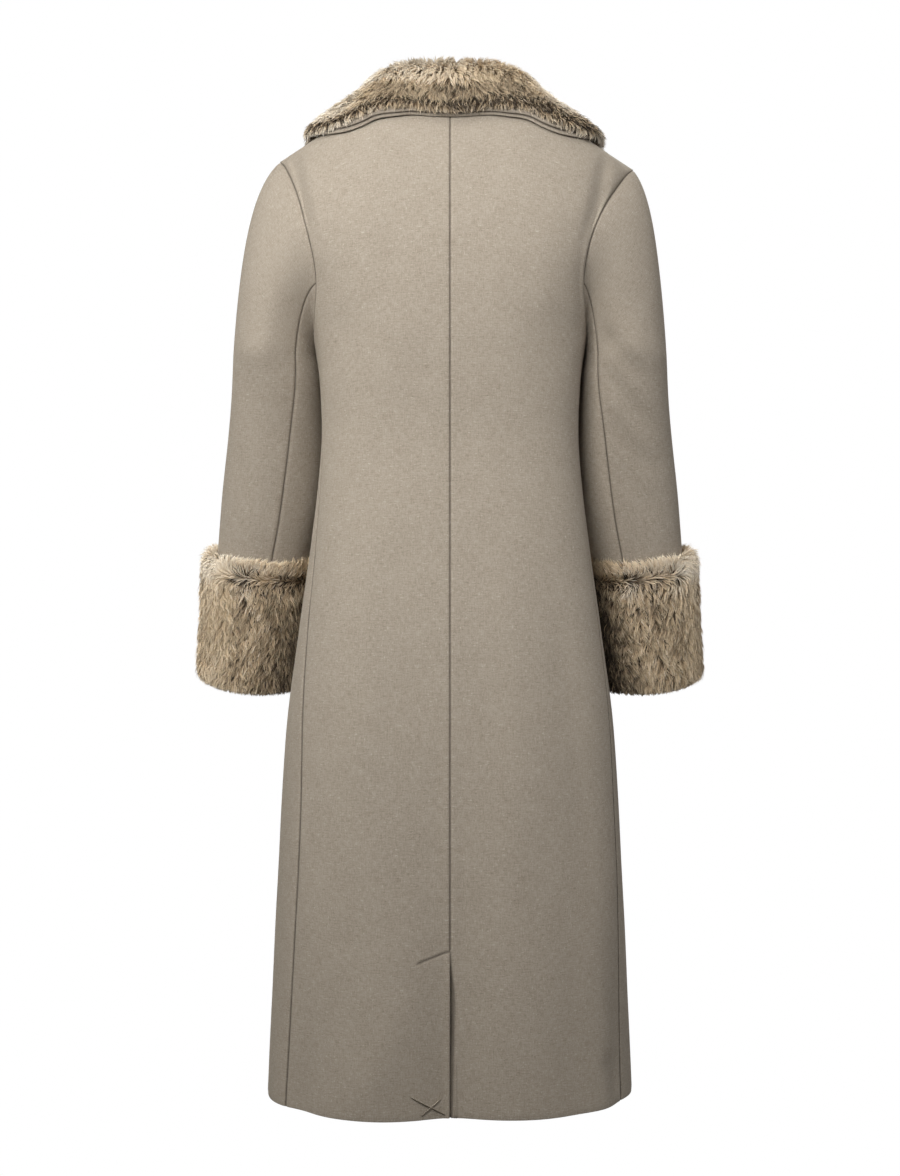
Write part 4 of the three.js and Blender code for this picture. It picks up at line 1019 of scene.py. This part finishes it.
def fringed(rng, far, near):
    """Painted shade on strands near a lock's border, where `far` nears 1, partly the dark of the roots
    that show there: most of them a little, and a few, more of them at the border, almost to black.
    Some in the middle get a painted highlight and are pale instead. `near` scales how often."""
    count = len(far)
    chance = rng.random((count, 2))
    dark = chance[:, 0] < near * (0.05 + 0.3 * smooth(0.5, 1.0, far))
    pale = chance[:, 1] < 0.2 * smooth(-0.6, 0, -far)
    return 0.3 * pale - 0.45 * dark - 0.1 * smooth(0.4, 1.0, far)


CUFF_ROWS, CUFF_TURNS = 36, 108
CUFF_STRANDS, COLLAR_STRANDS = 65000, 65000
HAIR = 16.0  # longest hair before its random share, in millimetres
CUFF_PARTING = 0.235  # place of the cuff's parting, as a share of its section from the top lip
LOCK_CUFF, LOCK_COLLAR = (4.4, 8.5), (5.0, 8.0)  # a lock's width and length, in millimetres
CUFF_ROUND, CUFF_RUN = 440.0, 208.0  # millimetres round the cuff, and along its section
# Where the cuff's hair parts in a whorl: degrees from the sleeve's outer side by way of the back,
# half width in millimetres, and strength.
WHORLS = {
    LEFT: ((83, 15, 0.9), (127, 13, 0.8), (152, 11, 0.5)),
    RIGHT: ((107, 15, 1.0), (82, 11, 0.6), (57, 12, 0.8), (134, 12, 0.7)),
}


def cuff_surface(depth):
    """The cuff's outside at a share of its fur's depth: rows from its top lip down to its bottom
    one, columns round the arm. The first and last columns meet."""
    at = np.linspace(0, 1, CUFF_ROWS)[:, None]
    angle = np.linspace(0, 360, CUFF_TURNS + 1)[None, :]
    up, out = read(CUFF_SECTION, at)
    up = mix(0.5, up, mix(0.9, 1, depth))
    outer = np.maximum(0, np.cos(np.radians(angle))) ** 3
    z = mix(CUFF_BOTTOM + CUFF_LIFT * outer, CUFF_TOP, up)
    lump = 1.2 * np.sin(np.radians(5 * angle) + 7 * up) * out
    across, deep = read(SLEEVE_RINGS, z)[2:]
    radius = mix(*CUFF_RADIUS, up)
    swell = mix(CUFF_EASE, radius - (across + deep) / 2, out * depth) + lump * depth
    p = tube_point(z, angle + 0 * z, swell)
    p[..., 0] += (CUFF_LEAN * up + CUFF_OUTSET) * out * depth
    return p


def fur_skin(name, surface, backing):
    """The fur's dense under-pile as one closed ring: the surface grid joined to the backing."""
    loop = np.concatenate([surface, backing[::-1]])[:, :-1]
    total, columns = loop.shape[:2]
    quads = quads_of(total, columns, closed=True)
    closing = np.stack([(total - 1) * columns + np.arange(columns),
                        (total - 1) * columns + (np.arange(columns) + 1) % columns,
                        (np.arange(columns) + 1) % columns, np.arange(columns)], axis=-1)
    quads = np.concatenate([quads, closing])
    points = loop.reshape(-1, 3)
    if volume(points, quads) < 0:
        quads = quads[:, ::-1]
    return mesh_object(name, points, [quads], FUR_SKIN)


def fur_cuff(side, seed):
    """A cuff's fur. Towards the body it parts near its top: below, locks are combed down the arm,
    and above, they puff up and out. Its outer side is plain and combed down all over. At the whorls
    of WHORLS the hair lies flat and rays out, so its roots show."""
    core = cuff_surface(0.5)
    normals = grid_normals(core, 1)
    if np.einsum("ijk,ijk->", normals, core - core.mean(axis=(0, 1))) < 0:
        normals = -normals
    rng = np.random.default_rng(seed)
    u, v = scattered(core, CUFF_STRANDS, np.ones(core.shape[:2]), rng)
    at, turn = u / (CUFF_ROWS - 1), v / CUFF_TURNS * 360
    roots, normal = sampled(core, u, v), unit(sampled(normals, u, v))
    down = unit(sampled(np.gradient(core, axis=0), u, v))
    across = unit(sampled(np.gradient(core, axis=1), u, v))
    arc = turn / 360 * CUFF_ROUND
    past = (at - CUFF_PARTING - 0.008 * np.sin(np.radians(3 * turn))) * CUFF_RUN
    whorl, ray = np.zeros(len(u)), np.zeros(len(u))
    for centre, width, strength in WHORLS[side]:
        away = (turn - centre) / 360 * CUFF_ROUND
        whorl = np.maximum(whorl, strength * bell(away, width))
        ray += strength * away / 11 * bell(away, width)
    width_mm = mix(7, 3.5, smooth(0.05, 0.5, whorl))
    above = smooth(-1, 1, -past / width_mm)
    behind = smooth(32, 62, 180 - np.abs(turn - 180))  # 0 on the outer side, where nothing parts
    swing = math.pi * above * behind
    sweep = 0.25 * np.sin(arc / 37 + at * 4 + seed) + 0.15 * np.sin(arc / 15 - at * 7)
    plane = np.stack([arc + 5 * sweep * past / 10, past], axis=-1)
    way, own = locks(plane + 1.5 * np.sin(plane[:, ::-1] / 4), LOCK_CUFF, seed)
    far = np.abs(way[:, 0]) / 2.5
    ray = 0.8 * ray * bell(past - 5, 15) + sweep + 1.1 * (own[:, 1] - 0.5)
    outer = np.sin(swing) * np.sign(turn - 180)
    comb = unit(down * np.cos(swing)[:, None] + across * (outer + ray)[:, None])
    pull = (across * way[:, [0]] * 0.7 + down * way[:, [1]] * 0.15) * (1 - 0.6 * above)[:, None]
    lift = 0.42 + 0.12 * above * behind - 0.2 * bell(past, 8) * whorl + 0.25 * (own[:, 0] - 0.5)
    room = np.maximum(0, (0.90 - at) * CUFF_RUN)
    length = np.minimum(HAIR - above, 6 + room) * rng.uniform(0.7, 1.15, len(u))
    width = rng.uniform(0.8, 1.6, len(u))
    bend = 0.75 * (own[:, 0] - 0.5) * (1 - 0.5 * above)
    plain = smooth(-85, -50, -np.minimum(turn, 360 - turn)) * (1 - whorl)
    rough = (1 - 0.85 * above * (1 - whorl)) * mix(1, 0.2, plain)
    light = 0.43 + fringed(rng, far, rough) * rough + 0.2 * (own[:, 0] - 0.5) * rough
    light += 0.27 * above + 0.12 * plain + 0.05 * np.sin(arc / 23 + past / 31)
    light += 0.4 * whorl * bell(past - 6, 16)
    light -= 0.9 * (rng.random(len(u)) < 0.55 * whorl * bell(past - 1, 7))
    # Painted shade, partly the fur's own grey: darker on the side towards the body, more on the right
    # cuff.
    light -= (0.3 if side == LEFT else 0.42) * smooth(95, 150, turn) * smooth(-235, -200, -turn)
    light += rng.normal(0, 0.06, len(u))
    tone = 0.45 + 0.3 * (own[:, 1] - 0.5) * rough + 0.2 * above + rng.normal(0, 0.08, len(u))
    start = 0.55 * (1 - rough)
    shade = np.clip(np.stack([light, tone, start], axis=-1), 0, 1)
    label = "left" if side == LEFT else "right"
    flip = [side, 1, 1]
    fur = strands(f"fur_cuff_{label}_pile", roots * flip, normal * flip, comb * flip, lift, length,
                  width, pull * flip, bend, shade, seed)
    skin = fur_skin(f"fur_cuff_{label}_skin", mirrored(core, side),
                    mirrored(cuff_surface(0.0), side))
    return fur, skin


def collar_ground():
    """The grid that the collar's fur lies on: the cloth's, drawn in past its fold to end `short`
    of the cloth's edge, and half a millimetre above the upper collar."""
    short = np.maximum(0, read(COLLAR_SHAPE, np.abs(STATIONS))[3])
    fold = np.argmin(np.abs(SECTIONS - FOLD))
    fall = np.linalg.norm(COLLAR[:, -1] - COLLAR[:, fold], axis=-1)
    end = mix(FOLD, 1, 1 - short / fall)[:, None]
    section = mix(FOLD, end, (SECTIONS[None, :] - FOLD) / (1 - FOLD))
    grid, normals = collar_grid(np.where(SECTIONS <= FOLD, SECTIONS, section))
    base = collar_lift(SECTIONS)[None, :, None] + 2 * COLLAR_LAYER + 0.5
    return grid + normals * base, normals


def collar_fur_surface(depth):
    """The collar's fur at a share of its depth: columns run from inside the neck over the fold and
    the fall, then curl round past the fur's backing."""
    ground, normals = collar_ground()
    pile, _, reach = read(COLLAR_SHAPE, np.abs(STATIONS))[2:]
    share = mix(0.2, 1, smooth(0.1, 0.45, SECTIONS))
    lump = 1 + 0.06 * np.sin(9 * np.abs(STATIONS)[:, None] + 5 * SECTIONS[None, :])
    height = depth * pile[:, None] * share[None, :] * lump
    top = ground + normals * height[..., None]
    onward = unit(ground[:, -1] - ground[:, -2])
    turn = np.linspace(0, 1, CURL)[1:] * math.pi / 2
    thick = (pile * depth * lump[:, -1])[:, None, None]
    wide = (reach * mix(0.35, 1, depth))[:, None, None]
    curl = (ground[:, None, -1] + onward[:, None] * wide * np.sin(turn)[None, :, None]
            + normals[:, None, -1] * (1 + (thick - 1) * np.cos(turn)[None, :, None]))
    return np.concatenate([top, curl], axis=1)


def collar_skin(core):
    """The under-pile of the collar as one closed solid, capped at both front ends."""
    loop = np.concatenate([core, collar_ground()[0][:, ::-1]], axis=1)
    stations, around = loop.shape[:2]
    quads = quads_of(stations, around, closed=True)
    points = loop.reshape(-1, 3)
    caps = []
    for row, turned in ((0, False), (stations - 1, True)):
        centre = len(points)
        points = np.concatenate([points, loop[row].mean(axis=0)[None]])
        a = row * around + np.arange(around)
        b = row * around + (np.arange(around) + 1) % around
        caps.append(np.stack([np.full(around, centre), *((b, a) if turned else (a, b))], axis=-1))
    if volume(points, quads) < 0:
        quads, caps = quads[:, ::-1], [c[:, ::-1] for c in caps]
    return mesh_object("fur_collar_skin", points, [quads, *caps], FUR_SKIN)


def fur_collar(seed=7):
    """The collar's fur, combed from the fold down the fall: pale over the fold and out towards the
    shoulders, tan between, and flecked with dark roots in a band beside its lower edge, which is
    wider on the right. The pale towards the shoulders is partly painted light, and the fur inside
    the neck is lightened with painted light."""
    core = collar_fur_surface(0.4)
    normals = grid_normals(core, -1)
    rng = np.random.default_rng(seed)
    chance = np.ones(core.shape[:2])
    chance[:, :4] = 0.4
    u, v = scattered(core, COLLAR_STRANDS, chance, rng)
    place = -2 + 4 * u / (len(STATIONS) - 1)
    station = np.abs(place)
    section = np.interp(v, np.arange(core.shape[1]),
                        np.concatenate([SECTIONS, np.linspace(1.02, 1.2, CURL - 1)]))
    roots, normal = sampled(core, u, v), unit(sampled(normals, u, v))
    down = unit(sampled(np.gradient(core, axis=1), u, v))
    across = unit(sampled(np.gradient(core, axis=0), u, v))
    arc, run = (place + 2) * 250, section * 130
    plane = np.stack([arc, run], axis=-1)
    way, own = locks(plane + 1.5 * np.sin(plane[:, ::-1] / 5), LOCK_COLLAR, seed)
    far = np.abs(way[:, 0]) / 2.9
    sweep = 0.3 * np.sin(arc / 23 + section * 7) + 0.2 * np.sin(arc / 9 - section * 11)
    sweep += 1.3 * (own[:, 1] - 0.5)
    comb = unit(down + across * sweep[:, None])
    low, fold = smooth(0.72, 0.98, section), bell(section - 0.38, 0.1)
    inside = smooth(-0.38, -0.26, -section)
    lift = 0.5 + 0.15 * fold + 0.3 * (own[:, 0] - 0.5)
    length = (HAIR - 5 * low - 2.5 * fold - 5 * inside) * rng.uniform(0.65, 1.15, len(u))
    length *= mix(0.75, 1, smooth(-2, -1.7, -station))
    width = rng.uniform(0.6, 1.3, len(u))
    pull = across * way[:, [0]] * 0.65 + down * way[:, [1]] * 0.2
    bend = 0.8 * (own[:, 0] - 0.5)
    flank = smooth(0.45, 0.85, station)
    right = smooth(-0.35, -0.15, -place) * (place < 0)
    centre = mix(mix(0.95, 1.05, flank), 0.96, right)
    band = bell(section - centre, mix(0.07, 0.15, right)) * smooth(-1.06, -0.9, -station)
    rim = smooth(1.0, 1.08, section) * (1 - flank)
    crown = smooth(-0.6, -0.45, -section)
    flecked = np.maximum(band, 0.7 * bell(place + 0.02, 0.1) * bell(section - 0.6, 0.1))
    rough = mix(mix(0.2, 0.06, np.maximum(crown, flank)), 1, flecked)
    light = 0.3 + fringed(rng, far, rough) * rough + 0.2 * (own[:, 0] - 0.5) * mix(rough, 1, 0.3)
    # Over the flanks the lightening is partly the fur's own pale and partly painted light.
    light += 0.42 * crown * mix(0.15, 1, smooth(-0.6, 0.3, place)) + 0.62 * flank * (1 - band)
    light += 0.3 * rim + 0.15 * band - 0.9 * (rng.random(len(u)) < 0.66 * flecked)
    # Painted light: the fur inside the neck, which stands in shade, is lightened.
    light += 0.3 * inside
    light += rng.normal(0, 0.06, len(u))
    tone = 0.32 + 0.3 * (own[:, 1] - 0.5) + 0.15 * np.maximum(crown, flank)
    tone += rng.normal(0, 0.08, len(u))
    # Paler roots over the crown, flanks and inside the neck; over the flanks and inside this is partly
    # painted light.
    start = (0.5 + 0.2 * np.maximum.reduce([crown, flank, inside])) * (1 - rough)
    shade = np.clip(np.stack([light, tone, start], axis=-1), 0, 1)
    fur = strands("fur_collar_pile", roots, normal, comb, lift, length, width, pull, bend, shade, seed)
    return fur, collar_skin(core)


# ------------------------------------------------------------------ buttons and stitches
def tube_along(path, radius):
    """A closed tube of eight sides round a path of points, pinched to its ends."""
    around = 8
    way = unit(np.gradient(path, axis=0))
    side = unit(np.cross(way, np.array([0.31, 0.17, 0.93])))
    up = np.cross(way, side)
    turn = np.linspace(0, 2 * math.pi, around, endpoint=False)
    t = np.linspace(0, 1, len(path))
    size = radius * np.sqrt(np.clip(1 - (2 * t - 1) ** 8, 0.02, 1))
    ring = side[:, None] * np.cos(turn)[None, :, None] + up[:, None] * np.sin(turn)[None, :, None]
    points = path[:, None] + ring * size[:, None, None]
    quads = quads_of(len(path), around, closed=True)
    return points.reshape(-1, 3), quads


def joined(name, tubes, mat):
    """Several tubes as one mesh; each comes as points, faces and how much painted shadow it carries.
    """
    points, quads, painted_shades, count = [], [], [], 0
    for p, q, painted_shade in tubes:
        points.append(p)
        quads.append(q + count)
        painted_shades.append(np.full(len(p), painted_shade))
        count += len(p)
    return mesh_object(name, np.concatenate(points), [np.concatenate(quads)], mat,
                       attributes=[("seam", np.concatenate(painted_shades))])


def vent_tack():
    """The cross of tacking thread that holds the vent shut: two arms, each two threads side by
    side that dip into the cloth at their ends, the lower one darkened with a painted shadow of the
    upper one."""
    tubes = []
    for (x0, z0), (x1, z1) in (((44, -1157), (5, -1180)), ((10, -1162), (32, -1179))):
        t = np.linspace(0, 1, 24)
        for shift, shadow in ((-0.6, 1.0), (0.5, 0.0)):
            bow = 1.1 * np.sin(math.pi * t) ** 0.5
            path = on_skirt_back(mix(x0, x1, t), mix(z0, z1, t) + shift)
            path[:, 1] += bow
            tubes.append((*tube_along(path, 0.5), shadow))
    return joined("vent_tack_thread", tubes, THREAD)


def button(number, height):
    """A round button turned on a lathe, its profile carried round its axis: a rounded rim about a
    sunk middle, with a cross of doubled thread on it."""
    heights = np.array([height - BUTTON_RADIUS, height, height + BUTTON_RADIUS])
    face = ring_point(RIGHT, heights, 180.0)[:, 1].min() - BUTTON_GAP
    profile = np.array([
        (0, 0), (12.3, 0), (13.4, 0.4), (14, 1.3), (14, 3.6), (13.5, 4.5), (12.4, 5), (11, 4.95),
        (10.2, 4.6), (9.6, 3.9), (9, 3.5), (8, 3.4), (0, 3.4),
    ])
    turn = np.linspace(0, 2 * math.pi, 64, endpoint=False)
    r, h = profile[:, 0, None], profile[:, 1, None]
    points = point(r * np.cos(turn), face - h, height + r * np.sin(turn))
    quads = quads_of(len(profile), 64, closed=True)
    flat = points.reshape(-1, 3)
    if volume(flat, quads) < 0:
        quads = quads[:, ::-1]
    body = mesh_object(f"button_{number}_disc", flat, [quads], HORN)
    tubes = []
    t = np.linspace(0, 1, 14)
    for x0, z0, x1, z1 in ((-3, -3, 3, 3), (-3, 3, 3, -3)):
        for shift in (-0.5, 0.5):
            path = point(mix(x0, x1, t) + shift, face - 3.1 - 1.1 * np.sin(math.pi * t) ** 0.6,
                         height + mix(z0, z1, t) - shift * np.sign(z1 - z0))
            tubes.append((*tube_along(path, 0.5), 0.0))
    thread = joined(f"button_{number}_thread", tubes, THREAD)
    return body, thread


def settle(piece, slot, *nodes):
    """Rides a piece on the coat's one body and hides the parts that it replaces; `slot` is not used.
    """
    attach(piece, "root")
    if nodes:
        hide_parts(*nodes)
    return piece


def sewn(piece, slot, nodes=()):
    settle(piece, slot, *nodes)
    return piece


body, sleeves = {}, {}
tack = settle(vent_tack(), "coat_cloth")
for side, label in ((LEFT, "left"), (RIGHT, "right")):
    body[side] = []
    for piece, kind in ((back_panel(side), "back"), (front_panel(side), "front")):
        name = f"{kind}_{label}"
        body[side].append(sewn(piece, "coat_cloth", nodes=[name]))
    sleeves[side] = []
    for part, first, last in (("upper", SEAM_STEP, ROUND - SEAM_STEP),
                              ("under", ROUND - SEAM_STEP, ROUND + SEAM_STEP)):
        name = f"sleeve_{label}_{part}"
        piece = sleeve_piece(f"{name}_cloth", side, first, last)
        sleeves[side].append(sewn(piece, "coat_cloth", [name]))
    name = f"fur_cuff_{label}"
    pile, skin = fur_cuff(side, 11 if side == LEFT else 23)
    settle(pile, "fur", name)
    sewn(skin, "fur", [name])
sewn(vent_underlap(), "coat_cloth", ["back_right"])
under = sewn(collar_layer("collar_under_cloth", 0), "coat_cloth",
             ["collar_under"])
upper = sewn(collar_layer("collar_upper_cloth", 1), "coat_cloth",
             ["collar_upper"])
pile, skin = fur_collar()
settle(pile, "fur", "fur_collar")
sewn(skin, "fur", ["fur_collar"])
for number, height in enumerate(BUTTON_HEIGHTS, 1):
    disc, thread = button(number, height)
    settle(disc, "button", f"button_{number}")
    settle(thread, "button")


# ------------------------------------------------------------------ floor, light and camera
FLOOR = -1420.0
CAMERA_FAR, CAMERA_HEIGHT = 2.4, -0.589  # metres
SCALE_AT_COAT, IMAGE_HEIGHT = 1.2, 1176  # millimetres to a pixel at the origin, and pixels
def stage_paper():
    """Pale studio paper: it shows near white and gives back little light."""
    made = material("studio_paper")
    t = made.node_tree
    seen = node(t, "ShaderNodeLightPath").outputs["Is Camera Ray"]
    plain = node(t, "ShaderNodeBsdfDiffuse", {"Color": linear("#8a8a8a")})
    glow = node(t, "ShaderNodeEmission", {"Color": linear("#ffffff"), "Strength": 1.0})
    both = node(t, "ShaderNodeMixShader", {0: seen, 1: plain, 2: glow})
    node(t, "ShaderNodeOutputMaterial", {"Surface": both})
    return made


corners = np.array([(-1, -1, 0), (1, -1, 0), (1, 1, 0), (-1, 1, 0)]) * 9000 + (0, 0, FLOOR)
floor = mesh_object("studio_floor", corners, [np.array([[0, 1, 2, 3]])], stage_paper())

world = bpy.data.worlds.new("studio")
bpy.context.scene.world = world
world.use_nodes = True
sky = world.node_tree
sky.nodes.clear()
seen = node(sky, "ShaderNodeLightPath").outputs["Is Camera Ray"]
dim = node(sky, "ShaderNodeBackground", {"Color": linear("#ffffff"), "Strength": 0.07})
white = node(sky, "ShaderNodeBackground", {"Color": linear("#ffffff"), "Strength": 1.0})
both = node(sky, "ShaderNodeMixShader", {0: seen, 1: dim, 2: white})
node(sky, "ShaderNodeOutputWorld", {"Surface": both})


def soft_light(name, place, target, size, power, colour, spread=180):
    """A square softbox at `place`, turned to `target`, both in metres, its beam fanning out by
    `spread` degrees."""
    data = bpy.data.lights.new(name, "AREA")
    data.shape, data.size, data.energy = "SQUARE", size, power
    data.color, data.spread = linear(colour)[:3], math.radians(spread)
    lamp = bpy.data.objects.new(name, data)
    lamp.location = place
    way = Vector(target) - Vector(place)
    lamp.rotation_euler = way.to_track_quat("-Z", "Y").to_euler()
    lamp.visible_camera = False
    bpy.context.scene.collection.objects.link(lamp)


soft_light("key_softbox", (0.5, 1.75, 0.4), (0, 0, -0.25), 0.9, 12.2, "#fffdf8", 97)
soft_light("top_softbox", (0.3, 0.8, 1.3), (0, 0, 0), 0.7, 1.6, "#fffdf8", 70)
soft_light("fill_softbox", (-1.5, 2.1, 0.5), (0, 0, -0.5), 1.2, 4.1, "#fffefc")
soft_light("left_softbox", (2.0, 0.5, 0.15), (0.2, 0, -0.35), 1.0, 14, "#fffdf8")
soft_light("right_softbox", (-2.0, 0.5, 0.05), (-0.2, 0, -0.4), 1.0, 10, "#fffefc")
soft_light("front_softbox", (-0.6, -2.4, 0.9), (0, 0, -0.5), 1.6, 60, "#fffcf6")

camera = bpy.data.cameras.new("camera")
camera.sensor_fit = "AUTO"
camera.sensor_width = 36.0
camera.lens = camera.sensor_width * CAMERA_FAR * 1000 / (SCALE_AT_COAT * IMAGE_HEIGHT)
camera.clip_start, camera.clip_end = 0.05, 60
eye = bpy.data.objects.new("camera", camera)
eye.location = (0, CAMERA_FAR, CAMERA_HEIGHT)
eye.rotation_euler = (math.pi / 2, 0, math.pi)
bpy.context.scene.collection.objects.link(eye)
bpy.context.scene.camera = eye
bpy.context.scene.view_settings.view_transform = "Standard"
